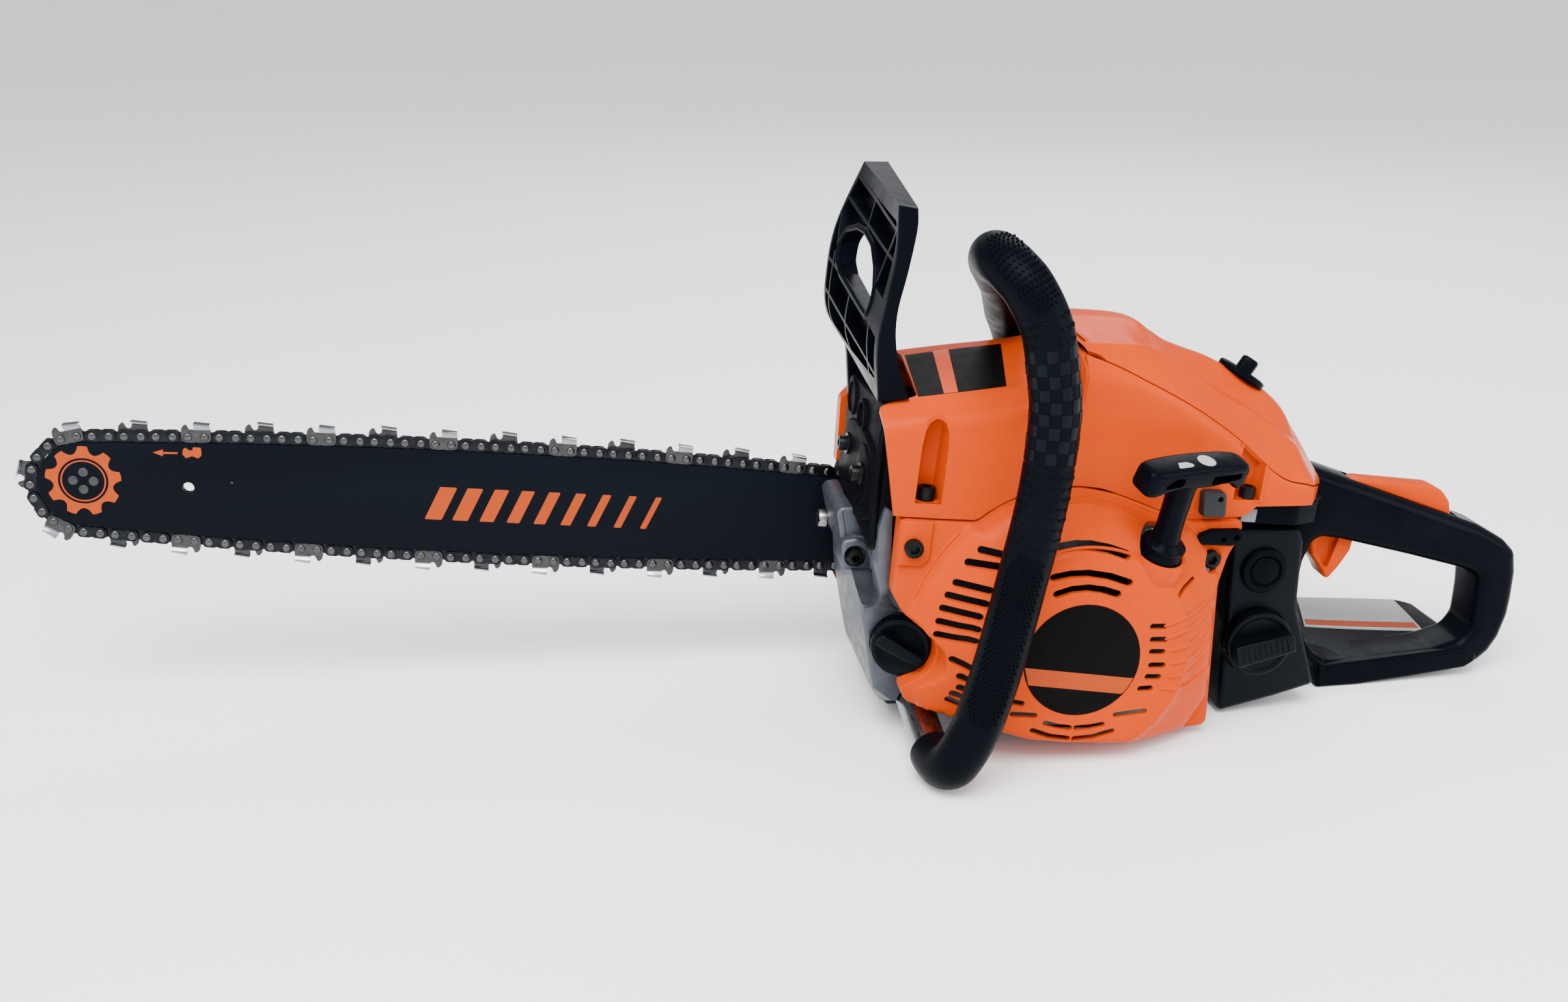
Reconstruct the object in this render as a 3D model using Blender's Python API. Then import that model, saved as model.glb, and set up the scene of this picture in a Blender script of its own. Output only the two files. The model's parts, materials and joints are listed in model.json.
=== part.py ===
"""Petrol chainsaw, built piece by piece.

All shapes are drawn in the saw's own bar frame, in millimetres:
  X runs along the guide bar (nose at -X, rear handle at +X),
  Y = 0 is the plane of the bar (starter side at -Y, clutch side at +Y),
  Z is up, square to the bar.
A root empty then tilts that frame so the saw stands on its feet with the
bar nose raised, and moves it so the origin is under the middle of the saw.
"""
import math
import bpy
import bmesh
from mathutils import Vector

MM = 0.001

# ---------------------------------------------------------------- dimensions
TILT = math.radians(6.0)            # nose-up attitude on level ground
REST_Z0, REST_K = -115.3, math.tan(math.radians(6.0))   # ground line in the bar frame
SHIFT = (-0.16287, 0.06243, 0.11467)                    # bar frame to ground frame

CRANK = (302.0, -10.0)              # crank axis (X, Z)
CYL_LEAN = math.radians(12.0)       # cylinder leans to the muffler
CYL_Y = -55.0                       # cylinder plane

BAR_T = 4.2                         # bar thickness
BAR_TAIL = 263.5
NOSE_X = -226.0                     # nose sprocket centre
CHAIN_W = 6.0
CHAIN_H = 7.0                       # strap height above the bar rail
CUTTER_H = 11.0
CUTTERS = 36

TUBE_R = 9.6                        # front handle steel tube
GRIP_R = 12.8                       # rubber sleeve on it
WALL = 2.5                          # moulded cover wall
DOME = (299.0, -20.0)               # starter dome centre (X, Z)
GAP = 0.35

for old in list(bpy.data.objects):
    bpy.data.objects.remove(old, do_unlink=True)

ROOT = bpy.data.objects.new("saw_frame", None)
bpy.context.scene.collection.objects.link(ROOT)
ROOT.rotation_euler = (0.0, TILT, 0.0)
ROOT.location = SHIFT


# ---------------------------------------------------------------- solids
def mesh_of(verts, faces):
    me = bpy.data.meshes.new("solid")
    me.from_pydata([(v[0] * MM, v[1] * MM, v[2] * MM) for v in verts], [], faces)
    bm = bmesh.new()
    bm.from_mesh(me)
    bmesh.ops.recalc_face_normals(bm, faces=bm.faces)
    bent = [f for f in bm.faces if len(f.verts) > 3
            and max(abs((v.co - f.verts[0].co).dot(f.normal)) for v in f.verts) > 1e-7]
    bmesh.ops.triangulate(bm, faces=bent)
    bm.to_mesh(me)
    bm.free()
    return me


def loft(rings):
    """Closed solid through planar rings with equal point counts."""
    n = len(rings[0])
    verts = [p for r in rings for p in r]
    faces = [tuple(range(n)), tuple(range((len(rings) - 1) * n, len(rings) * n))]
    for k in range(len(rings) - 1):
        for i in range(n):
            j = (i + 1) % n
            faces.append((k * n + i, k * n + j, (k + 1) * n + j, (k + 1) * n + i))
    return mesh_of(verts, faces)


def prism_y(poly, y0, y1):
    return loft([[(x, y, z) for x, z in poly] for y in (y0, y1)])


def prism_x(poly, x0, x1):
    return loft([[(x, y, z) for y, z in poly] for x in (x0, x1)])


def prism_z(poly, z0, z1):
    return loft([[(x, y, z) for x, y in poly] for z in (z0, z1)])


def box(x0, x1, y0, y1, z0, z1):
    return prism_y([(x0, z0), (x1, z0), (x1, z1), (x0, z1)], y0, y1)


def frame_of(axis):
    a = Vector(axis).normalized()
    ref = Vector((0, 0, 1)) if abs(a.z) < 0.9 else Vector((1, 0, 0))
    u = a.cross(ref).normalized()
    return a, u, a.cross(u)


def turned(origin, axis, profile, n=20):
    """Solid of revolution; profile is (radius, distance along axis), radius 0 allowed at the ends."""
    a, u, v = frame_of(axis)
    o = Vector(origin)
    verts, rings = [], []
    for r, h in profile:
        if r < 1e-6:
            rings.append([len(verts)])
            verts.append(o + a * h)
        else:
            rings.append(list(range(len(verts), len(verts) + n)))
            for i in range(n):
                t = 2 * math.pi * i / n
                verts.append(o + a * h + (u * math.cos(t) + v * math.sin(t)) * r)
    faces = []
    for p, q in zip(rings, rings[1:]):
        for i in range(n):
            j = (i + 1) % n
            if len(p) == 1:
                faces.append((p[0], q[i], q[j]))
            elif len(q) == 1:
                faces.append((p[i], p[j], q[0]))
            else:
                faces.append((p[i], p[j], q[j], q[i]))
    if len(rings[0]) > 1:
        faces.append(tuple(rings[0]))
    if len(rings[-1]) > 1:
        faces.append(tuple(rings[-1]))
    return mesh_of(verts, faces)


def rod(p0, p1, r, n=16):
    d = Vector(p1) - Vector(p0)
    return turned(p0, d, [(r, 0.0), (r, d.length)], n)


def ring(p0, p1, ro, ri, n=20):
    """Plain tube between two points."""
    d = Vector(p1) - Vector(p0)
    a, u, v = frame_of(d)
    o = Vector(p0)
    verts = []
    for r, h in ((ro, 0.0), (ro, d.length), (ri, d.length), (ri, 0.0)):
        for i in range(n):
            t = 2 * math.pi * i / n
            verts.append(o + a * h + (u * math.cos(t) + v * math.sin(t)) * r)
    faces = []
    for k in range(4):
        m = (k + 1) % 4
        for i in range(n):
            j = (i + 1) % n
            faces.append((k * n + i, k * n + j, m * n + j, m * n + i))
    return mesh_of(verts, faces)


def smooth_path(pts, step):
    """Points read off a Catmull-Rom curve through pts."""
    p = [Vector(q) for q in pts]
    p = [p[0] * 2 - p[1]] + p + [p[-1] * 2 - p[-2]]
    out = []
    for i in range(1, len(p) - 2):
        n = max(1, int(round((p[i + 1] - p[i]).length / step)))
        for k in range(n):
            t = k / n
            out.append(0.5 * ((2 * p[i]) + (p[i + 1] - p[i - 1]) * t
                              + (2 * p[i - 1] - 5 * p[i] + 4 * p[i + 1] - p[i + 2]) * t * t
                              + (3 * p[i] - p[i - 1] - 3 * p[i + 1] + p[i + 2]) * t ** 3))
    out.append(p[-2])
    return out


def sweep(path, radii, n=12):
    """Round bar along a path (radius may be a list)."""
    if not isinstance(radii, (list, tuple)):
        radii = [radii] * len(path)
    tang = []
    for i in range(len(path)):
        a = path[max(i - 1, 0)]
        b = path[min(i + 1, len(path) - 1)]
        tang.append((b - a).normalized())
    _, u, _ = frame_of(tang[0])
    rings = []
    for p, t, r in zip(path, tang, radii):
        u = (u - t * u.dot(t)).normalized()
        v = t.cross(u)
        rings.append([p + (u * math.cos(2 * math.pi * i / n) + v * math.sin(2 * math.pi * i / n)) * r
                      for i in range(n)])
    return loft(rings)


def hollow_sweep(path, ro, ri, n=10):
    """Open tube along a path."""
    tang = [(path[min(i + 1, len(path) - 1)] - path[max(i - 1, 0)]).normalized() for i in range(len(path))]
    _, u, _ = frame_of(tang[0])
    verts, m = [], len(path)
    for r in (ro, ri):
        w = u
        for p, t in zip(path, tang):
            w = (w - t * w.dot(t)).normalized()
            v = t.cross(w)
            verts += [p + (w * math.cos(2 * math.pi * i / n) + v * math.sin(2 * math.pi * i / n)) * r for i in range(n)]
    faces = []
    for i in range(n):
        j = (i + 1) % n
        for k in range(m - 1):
            for b in (0, m * n):
                faces.append((b + k * n + i, b + k * n + j, b + (k + 1) * n + j, b + (k + 1) * n + i))
        for k in (0, (m - 1) * n):
            faces.append((k + i, k + j, m * n + k + j, m * n + k + i))
    return mesh_of(verts, faces)


def boolean(a, b, op):
    oa = bpy.data.objects.new("a", a)
    ob = bpy.data.objects.new("b", b)
    for o in (oa, ob):
        bpy.context.scene.collection.objects.link(o)
    m = oa.modifiers.new("join", "BOOLEAN")
    m.object, m.operation, m.solver = ob, op, "EXACT"
    dg = bpy.context.evaluated_depsgraph_get()
    dg.update()
    out = bpy.data.meshes.new_from_object(oa.evaluated_get(dg))
    bm = bmesh.new()
    bm.from_mesh(out)
    bmesh.ops.remove_doubles(bm, verts=bm.verts, dist=2e-6)
    bmesh.ops.dissolve_degenerate(bm, edges=bm.edges, dist=2e-6)
    bm.to_mesh(out)
    bm.free()
    bpy.data.objects.remove(oa, do_unlink=True)
    bpy.data.objects.remove(ob, do_unlink=True)
    return out


def union(a, *rest):
    for b in rest:
        a = boolean(a, b, "UNION")
    return a


def cut(a, *rest):
    for b in rest:
        a = boolean(a, b, "DIFFERENCE")
    return a


def common(a, b):
    return boolean(a, b, "INTERSECT")


FINISH = {
    "orange": ((0.90, 0.13, 0.012), 0.28, 0.0),
    "black": ((0.012, 0.014, 0.020), 0.38, 0.0),
    "rubber": ((0.010, 0.011, 0.014), 0.65, 0.0),
    "cast": ((0.30, 0.33, 0.38), 0.42, 0.9),
    "steel": ((0.55, 0.56, 0.58), 0.28, 1.0),
    "dark_steel": ((0.06, 0.06, 0.07), 0.40, 0.8),
    "bar": ((0.014, 0.017, 0.024), 0.45, 0.2),
    "grey": ((0.25, 0.27, 0.30), 0.45, 0.0),
    "brass": ((0.55, 0.38, 0.14), 0.35, 1.0),
    "felt": ((0.75, 0.73, 0.66), 0.90, 0.0),
    "ceramic": ((0.80, 0.80, 0.78), 0.30, 0.0),
    "rope": ((0.80, 0.78, 0.70), 0.80, 0.0),
}


def piece(name, me, finish, origin=(0.0, 0.0, 0.0)):
    """Name a solid, give it its material, and put its origin where it turns."""
    o = Vector(origin) * MM
    me = me.copy()
    for v in me.vertices:
        v.co = v.co - o
    me.name = name
    colour, rough, metal = FINISH[finish]
    mat = bpy.data.materials.new(name + "_" + finish)
    mat.use_nodes = True
    bsdf = mat.node_tree.nodes["Principled BSDF"]
    bsdf.inputs["Base Color"].default_value = (*colour, 1.0)
    bsdf.inputs["Roughness"].default_value = rough
    bsdf.inputs["Metallic"].default_value = metal
    me.materials.clear()
    me.materials.append(mat)
    me.shade_smooth()
    me.set_sharp_from_angle(angle=math.radians(35.0))
    ob = bpy.data.objects.new(name, me)
    bpy.context.scene.collection.objects.link(ob)
    ob.parent = ROOT
    ob.location = o
    return ob


def rest_z(x, up=0.0):
    return REST_Z0 + REST_K * x + up


# ---------------------------------------------------------------- guide bar
def bar_half(x):
    return 30.0 - 4.86 * ((x + 2.0) / 200.0) ** 2


NOSE_R = bar_half(NOSE_X)


def bar_outline():
    xs = [BAR_TAIL + (NOSE_X - BAR_TAIL) * i / 20 for i in range(21)]
    top = [(x, bar_half(x)) for x in xs]
    nose = [(NOSE_X + NOSE_R * math.cos(t), NOSE_R * math.sin(t))
            for t in (math.radians(90 + 180 * i / 14) for i in range(1, 14))]
    return top + nose + [(x, -z) for x, z in reversed(top)]


bar = prism_y(bar_outline(), -BAR_T / 2, BAR_T / 2)
bar = cut(bar, box(206, 256, -5, 5, -4.6, 4.6))                                   # stud slot
bar = cut(bar, ring((NOSE_X, -0.9, 0), (NOSE_X, 0.9, 0), NOSE_R + 6, 6.0, 28))    # sprocket slot in the nose
piece("guide_bar", bar, "bar")

teeth = []
for i in range(40):
    t = 2 * math.pi * i / 40
    teeth.append((NOSE_X + (23.0 if i % 4 in (0, 1) else 19.5) * math.cos(t),
                  (23.0 if i % 4 in (0, 1) else 19.5) * math.sin(t)))
nose_sprocket = cut(prism_y(teeth, -0.55, 0.55), rod((NOSE_X, -2, 0), (NOSE_X, 2, 0), 6.4, 20))
piece("nose_sprocket", nose_sprocket, "steel", (NOSE_X, 0, 0))


# ---------------------------------------------------------------- saw chain
def chain_base():
    """Rail line the chain runs on: (point, outward normal), once round."""
    pts = []
    for i in range(61):
        x = 262.0 + (NOSE_X - 262.0) * i / 60
        pts.append(((x, bar_half(x)), (0.0, 1.0)))
    for i in range(1, 24):
        t = math.radians(90 + 180 * i / 24)
        pts.append(((NOSE_X + NOSE_R * math.cos(t), NOSE_R * math.sin(t)), (math.cos(t), math.sin(t))))
    for i in range(61):
        x = NOSE_X + (262.0 - NOSE_X) * i / 60
        pts.append(((x, -bar_half(x)), (0.0, -1.0)))
    for i in range(25):
        t = math.radians(-84 + 168 * i / 24)
        pts.append(((CRANK[0] + 18.6 * math.cos(t), CRANK[1] + 18.6 * math.sin(t)), (math.cos(t), math.sin(t))))
    return pts


def chain_solid():
    base = chain_base()
    base.append(base[0])
    run = [0.0]
    for (p, _), (q, _) in zip(base, base[1:]):
        run.append(run[-1] + math.dist(p, q))
    total = run[-1]

    def at(s, off):
        s %= total
        k = max(i for i in range(len(run) - 1) if run[i] <= s)
        t = (s - run[k]) / max(run[k + 1] - run[k], 1e-9)
        (p, n), (q, m) = base[k], base[k + 1]
        nx, nz = n[0] + (m[0] - n[0]) * t, n[1] + (m[1] - n[1]) * t
        d = math.hypot(nx, nz)
        return (p[0] + (q[0] - p[0]) * t + nx / d * off, p[1] + (q[1] - p[1]) * t + nz / d * off)

    pitch = total / CUTTERS
    stations = []
    for c in range(CUTTERS):
        for ds, off in ((0.0, CHAIN_H), (1.6, CUTTER_H - 0.6), (13.0, CUTTER_H), (14.6, CHAIN_H), (23.5, CHAIN_H)):
            stations.append((c * pitch + ds, off))
    verts, n = [], len(stations)
    for s, off in stations:
        a, b = at(s, 1.0), at(s, off)
        for (x, z), y in ((a, -1), (b, -1), (b, 1), (a, 1)):
            verts.append((x, y * CHAIN_W / 2, z))
    faces = []
    for i in range(n):
        j = (i + 1) % n
        for k in range(4):
            m = (k + 1) % 4
            faces.append((i * 4 + k, i * 4 + m, j * 4 + m, j * 4 + k))
    return mesh_of(verts, faces)


piece("saw_chain", chain_solid(), "dark_steel")

# ---------------------------------------------------------------- crank train
UP = Vector((-math.sin(CYL_LEAN), 0.0, math.cos(CYL_LEAN)))      # cylinder axis
ACROSS = Vector((math.cos(CYL_LEAN), 0.0, math.sin(CYL_LEAN)))
AX, AZ = CRANK


def on_cyl(s, side=0.0, y=CYL_Y):
    p = Vector((AX, y, AZ)) + UP * s + ACROSS * side
    return (p.x, p.y, p.z)


PIN = on_cyl(17.0)
crank = union(
    rod((AX, -119.0, AZ), (AX, -72.0, AZ), 7.5, 16),
    turned((AX, -74.0, AZ), (0, 1, 0), [(31.5, 0.0), (31.5, 11.0)], 24),
    rod((PIN[0], -64.0, PIN[2]), (PIN[0], -46.0, PIN[2]), 6.5, 14),
    turned((AX, -47.0, AZ), (0, 1, 0), [(31.5, 0.0), (31.5, 11.0)], 24),
    rod((AX, -38.0, AZ), (AX, 33.0, AZ), 6.0, 16))
piece("crankshaft", crank, "steel", (AX, CYL_Y, AZ))

piece("main_bearing_left", ring((AX, -88, AZ), (AX, -78, AZ), 17.4, 7.9), "steel")
piece("main_bearing_right", ring((AX, -32, AZ), (AX, -22, AZ), 17.4, 6.4), "steel")

# connecting rod: open saddle above the whole path of the crankpin, small end round the piston pin
rod_body = prism_y([(on_cyl(s, c)[0], on_cyl(s, c)[2]) for s, c in
                    ((22.0, -9.0), (22.0, 9.0), (34.0, 5.5), (70.0, 5.0), (76.0, 8.0), (84.0, 8.0), (88.0, 4.0),
                     (88.0, -4.0), (84.0, -8.0), (76.0, -8.0), (70.0, -5.0), (34.0, -5.5))], -60.0, -50.0)
rod_body = cut(rod_body, rod((AX, -70, AZ), (AX, -40, AZ), 24.3, 40),
               rod(on_cyl(79.0, 0, -70), on_cyl(79.0, 0, -40), 5.5, 16))
piece("connecting_rod", rod_body, "steel")

piston = turned(on_cyl(64.0), UP, [(22.3, 0.0), (22.3, 29.0)], 24)
piston = cut(piston, turned(on_cyl(63.0), UP, [(18.6, 0.0), (18.6, 26.5)], 20))
piston = union(piston, rod(on_cyl(79.0, 0, -75.5), on_cyl(79.0, 0, -34.5), 5.0, 14))
piece("piston", piston, "cast")

fins = [(27.0, 0.0)]
for k in range(4):
    h = 8.0 + 13.0 * k
    fins += [(27.0, h), (41.0, h + 0.6), (41.0, h + 2.6), (27.0, h + 3.2)]
fins += [(27.0, 55.0), (16.0, 58.5)]
cyl = turned(on_cyl(51.0), UP, fins, 16)
flange = loft([[on_cyl(s, c, y) for c, y in ((-31, -84), (31, -84), (31, -26), (-31, -26))] for s in (46.4, 52.0)])
cyl = union(cyl, flange)
cyl = cut(cyl, turned(on_cyl(40.0), UP, [(22.7, 0.0), (22.7, 57.0)], 24),       # bore
          turned(on_cyl(96.0), UP, [(5.4, 0.0), (5.4, 20.0)], 14),               # plug thread
          rod(on_cyl(72.0, -50.0), on_cyl(72.0, -15.0), 9.0, 14),                # exhaust port
          rod(on_cyl(74.0, 15.0), on_cyl(74.0, 50.0), 10.0, 14))                 # intake port
piece("cylinder", cyl, "cast")

piece("spark_plug", turned(on_cyl(99.0), UP, [(5.0, 0.0), (5.0, 11.0), (9.0, 11.2), (9.0, 15.0), (4.4, 15.3), (4.4, 22.0)], 12), "ceramic")

wheel = turned((AX, -112.0, AZ), (0, 1, 0), [(12.0, 0.0), (12.0, 4.0), (36.0, 8.0), (36.0, 1.0), (46.0, 1.0), (46.0, 17.0), (12.0, 17.0)], 28)
wheel = cut(wheel, rod((AX, -115, AZ), (AX, -90, AZ), 7.9, 16))
piece("flywheel", wheel, "cast", (AX, -104, AZ))
coil = union(box(352, 372, -109, -96, 2, 30), box(347.5, 353, -107, -98, 3, 11), box(350.5, 353, -107, -98, 21, 29))
piece("ignition_coil", coil, "black")

# ---------------------------------------------------------------- clutch, drum, sprocket
hub = cut(union(rod((AX, 12, AZ), (AX, 27, AZ), 12.0, 16), box(AX - 22, AX + 22, 14, 25, AZ - 5, AZ + 5)),
          rod((AX, 8, AZ), (AX, 32, AZ), 6.4, 16))
piece("clutch_hub", hub, "dark_steel", (AX, 20, AZ))


def arc_poly(r0, r1, a0, a1, n, cx=AX, cz=AZ):
    outer = [(cx + r1 * math.cos(math.radians(a0 + (a1 - a0) * i / n)), cz + r1 * math.sin(math.radians(a0 + (a1 - a0) * i / n))) for i in range(n + 1)]
    inner = [(cx + r0 * math.cos(math.radians(a0 + (a1 - a0) * i / n)), cz + r0 * math.sin(math.radians(a0 + (a1 - a0) * i / n))) for i in range(n + 1)]
    return outer + inner[::-1]


piece("clutch_shoe_upper", prism_y(arc_poly(15.0, 33.0, 25, 155, 10), 13.0, 26.0), "dark_steel", (AX, 20, AZ))
piece("clutch_shoe_lower", prism_y(arc_poly(15.0, 33.0, 205, 335, 10), 13.0, 26.0), "dark_steel", (AX, 20, AZ))

drum = cut(turned((AX, 6.0, AZ), (0, 1, 0), [(36.5, 0.0), (36.5, 24.0)], 28),
           turned((AX, 8.5, AZ), (0, 1, 0), [(34.3, 0.0), (34.3, 30.0)], 28),
           rod((AX, 0, AZ), (AX, 12, AZ), 6.6, 16))
piece("clutch_drum", drum, "steel", (AX, 18, AZ))

cog = []
for i in range(28):
    t = 2 * math.pi * i / 28
    r = 18.0 if i % 4 in (0, 1) else 14.5
    cog.append((AX + r * math.cos(t), AZ + r * math.sin(t)))
sprocket = cut(prism_y(cog, -4.5, 5.6), rod((AX, -8, AZ), (AX, 9, AZ), 6.6, 16))
piece("drive_sprocket", sprocket, "steel", (AX, 0, AZ))

piece("brake_band", prism_y(arc_poly(37.2, 38.6, -150, 120, 22), 10.0, 28.0), "dark_steel")

pump = cut(union(box(286, 318, -21, -9, -44, -22), rod((AX, -21, AZ), (AX, -9, AZ), 17.0, 20)),
           rod((AX, -30, AZ), (AX, 0, AZ), 7.4, 16))
piece("oil_pump", pump, "black")

# ---------------------------------------------------------------- crankcase
deck = [on_cyl(45.9, c) for c in (38.0, -38.0)]
core = [(188, 14), (186, -5), (189, -29), (195, -52), (209, -75.5), (221.5, rest_z(221.5)), (252, rest_z(252)),
        (264, -73), (385, -66), (386, 26), (346, 30), (deck[0][0], deck[0][2]), (deck[1][0], deck[1][2]),
        (238, 11), (214, 8), (201, 13)]
chamber = rod((AX, -77, AZ), (AX, -33, AZ), 34.0, 28)
throat = turned(on_cyl(20.0), UP, [(26.0, 0.0), (26.0, 40.0)], 20)
SOCKET = rod((227, -56, -65.4), (227, -135, -76.0), TUBE_R + 0.4, 16)

left = prism_y(core, -92.0, CYL_Y - 0.15)
edge = prism_y([(193, -24), (199, -16), (199, 8), (198.6, 41), (196, 43), (193, 33), (189, 12), (189, -8)], -109.6, -90.0)
oil_neck = prism_y([(196, -58), (192, -40), (192, -18), (206, -12), (228, -30), (229, -46), (220, -57)], -100.0, -90.0)
left = union(left, edge, oil_neck)
OIL_AXIS = Vector((-0.26, -0.96, 0.05)).normalized()
OIL_C = Vector((214.2, -100.0, -34.6))
left = cut(left, chamber, throat, rod((AX, -99, AZ), (AX, -70, AZ), 17.8, 24), SOCKET,
           rod(OIL_C + OIL_AXIS * 8, OIL_C - OIL_AXIS * 26, 10.6, 16),
           turned(OIL_C + OIL_AXIS * 0.4, OIL_AXIS, [(16.8, 0.0), (16.8, 20.0)], 20))
left = cut(left, prism_x([(-56.5, -94), (-56.5, -89.7), (-120, -59.6), (-120, -94)], 180, 262),
           box(170, 203.5, -89.5, -67.0, -13, 22), rod((193.5, -80, -3), (193.5, -57, -3), 3.4, 10))
piece("crankcase_left", left, "cast")

right = prism_y(core, CYL_Y + 0.15, -8.0)
right = union(right,
              box(205, 262, -9.0, -2.5, -16, 16),                      # bar pad
              box(182.5, 200, -44, -8, -13, 13.5),                     # tension screw boss
              prism_y([(287, 20), (315, 20), (315, 62), (287, 62)], -12.4, -7.8),
              box(287, 315, -11, 22, 36.5, 61))                        # front handle ear
right = cut(right, chamber, throat, rod((AX, -40, AZ), (AX, 0, AZ), 17.8, 24),
            box(285.5, 318.5, -21.6, 0, -44.5, -20),
            rod((300, 10, 80), (300, 10, 45), TUBE_R + 0.4, 16),
            rod((170, -17, 6), (222, -17, 6), 3.5, 12),
            rod((222, -20, 0), (222, 2, 0), 4.3, 12), rod((250, -20, 0), (250, 2, 0), 4.3, 12))
piece("crankcase_right", right, "cast")

piece("tension_screw", turned((177.6, -17, 6), (1, 0, 0), [(4.2, 0.0), (5.0, 0.8), (5.0, 4.4), (3.0, 4.5), (3.0, 40.0)], 12), "steel")
piece("crankcase_bolt", turned((193.5, -67.3, -3.0), (0, -1, 0), [(3.0, -7.0), (3.0, 0.0), (5.0, 0.1), (5.0, 6.0)], 12), "dark_steel")

# ---------------------------------------------------------------- clutch cover and bar nuts
COVER_R = [(188, 33), (186, 72), (192, 76), (262, 76), (273, 62), (282, 36), (302, 34), (324, 27), (341, 9), (346, -12),
           (341, -32), (326, -48), (304, -56), (268, -58), (232, -54), (204, -46), (196, -38), (195, 28)]


def inset(poly, d):
    """Polygon moved in by d along its corner bisectors."""
    out, n = [], len(poly)
    area = sum(poly[i][0] * poly[(i + 1) % n][1] - poly[(i + 1) % n][0] * poly[i][1] for i in range(n))
    s = 1.0 if area > 0 else -1.0
    for i in range(n):
        a, b, c = Vector(poly[i - 1]), Vector(poly[i]), Vector(poly[(i + 1) % n])
        e0, e1 = (b - a).normalized(), (c - b).normalized()
        n0, n1 = Vector((-e0.y, e0.x)) * s, Vector((-e1.y, e1.x)) * s
        m = (n0 + n1).normalized()
        k = max(m.dot(n0), 0.35)
        p = b + m * (d / k)
        out.append((p.x, p.y))
    return out


def slanted(poly, y):
    """Outline at depth y, with its front edge leaning back on the outer side."""
    return [(x + max(0.0, y - 14.0) * 0.4 * max(0.0, min(1.0, (222.0 - x) / 30.0)), y, z) for x, z in poly]


cover = loft([slanted(inset(COVER_R, i), y) for y, i in ((4.6, 0.0), (14.0, 0.0), (42.0, 0.0), (46.0, 4.0))])
cover = cut(cover, loft([slanted(inset(COVER_R, i), y) for y, i in ((3.0, WALL), (14.0, WALL), (40.5, WALL), (43.4, 5.5))]))
cover = union(cover, rod((222, 2.5, 0), (222, 44.5, 0), 9.0, 16), rod((250, 2.5, 0), (250, 44.5, 0), 9.0, 16),
              rod((200.6, 3.6, 62), (200.6, 27.0, 62), 8.0, 14))
cover = cut(cover, rod((222, 0, 0), (222, 52, 0), 4.4, 14), rod((250, 0, 0), (250, 52, 0), 4.4, 14),
            rod((200, 0, 62), (200, 26, 62), 4.4, 14))
piece("clutch_cover", cover, "orange")
for tag, x in (("front", 222.0), ("rear", 250.0)):
    nut = turned((x, -16.0, 0), (0, 1, 0), [(4.0, 0.0), (4.0, 62.3), (9.5, 62.4), (9.5, 64.0), (7.3, 64.1), (7.3, 70.0), (4.0, 70.2), (4.0, 72.0)], 12)
    piece("bar_nut_" + tag, nut, "dark_steel")

# ---------------------------------------------------------------- muffler
muff = loft([[(x, y, z) for y, z in ((-88 + i, 16 + i), (-12 - i, 16 + i), (-12 - i, 87 - i), (-88 + i, 87 - i))]
             for x, i in ((192, 6), (196, 0), (230, 0), (233, 3))])
muff = union(muff, rod((232, CYL_Y, 51.4), (245.5, CYL_Y, 54.0), 11.0, 14))
muff = cut(muff, rod((236, CYL_Y, 52.0), (250, CYL_Y, 54.6), 7.0, 12),
           rod((180, -35, 57), (205, -35, 57), 3.4, 10), rod((180, -74, 52), (205, -74, 52), 3.4, 10))
piece("muffler", muff, "black")
for tag, y, z in (("upper", -35.0, 57.0), ("lower", -74.0, 52.0)):
    piece("muffler_bolt_" + tag, turned((185.5, y, z), (1, 0, 0), [(4.6, 0.0), (4.6, 5.5), (3.0, 5.6), (3.0, 18.0)], 12), "dark_steel")

# ---------------------------------------------------------------- covers over the engine
STATIONS = [  # X, left wall Y, right wall Y, left shoulder Z, top Z near Y -60, top Z near Y -25
    (185, -121.5, -6, 97, 110, 106), (205, -122, -6, 103, 115, 111), (230, -122, -6, 108, 120, 115), (258, -122, -6, 114, 124.5, 118),
    (278, -122, -6, 119, 130, 121), (289, -122, -6, 130, 141, 132), (302, -121.5, -6, 134, 142, 136),
    (327, -120.5, -6, 132, 141.5, 136), (350, -119.5, -6, 124, 132.5, 128), (375, -118, -6, 112, 126, 121),
    (400, -115, -6, 100, 116, 111), (425, -108, -8, 86, 100, 95), (439, -93, -14, 74, 86, 81), (450, -77, -20, 64, 71, 68)]


def hood(t, x0, x1, drop):
    rings = []
    for x, yl, yr, zs, zt, zt2 in STATIONS:
        x = min(max(x, x0), x1)
        a, b = yl + t, yr - t
        pts = [(a, 28 - drop), (a, zs - 16), (a + 3.0, zs - 5 - 0.5 * t), (a + 13.0, zs - t + 1.5), (-60.0, zt - t), (-26.0, zt2 - t),
               (b - 6.0, zs - t - 2), (b, zs - 16), (b, 28 - drop)]
        rings.append([(x, y, z) for y, z in pts])
    rings[0] = [(x0, y, z) for _, y, z in rings[0]]
    rings[-1] = [(x1, y, z) for _, y, z in rings[-1]]
    return loft(rings)


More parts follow.
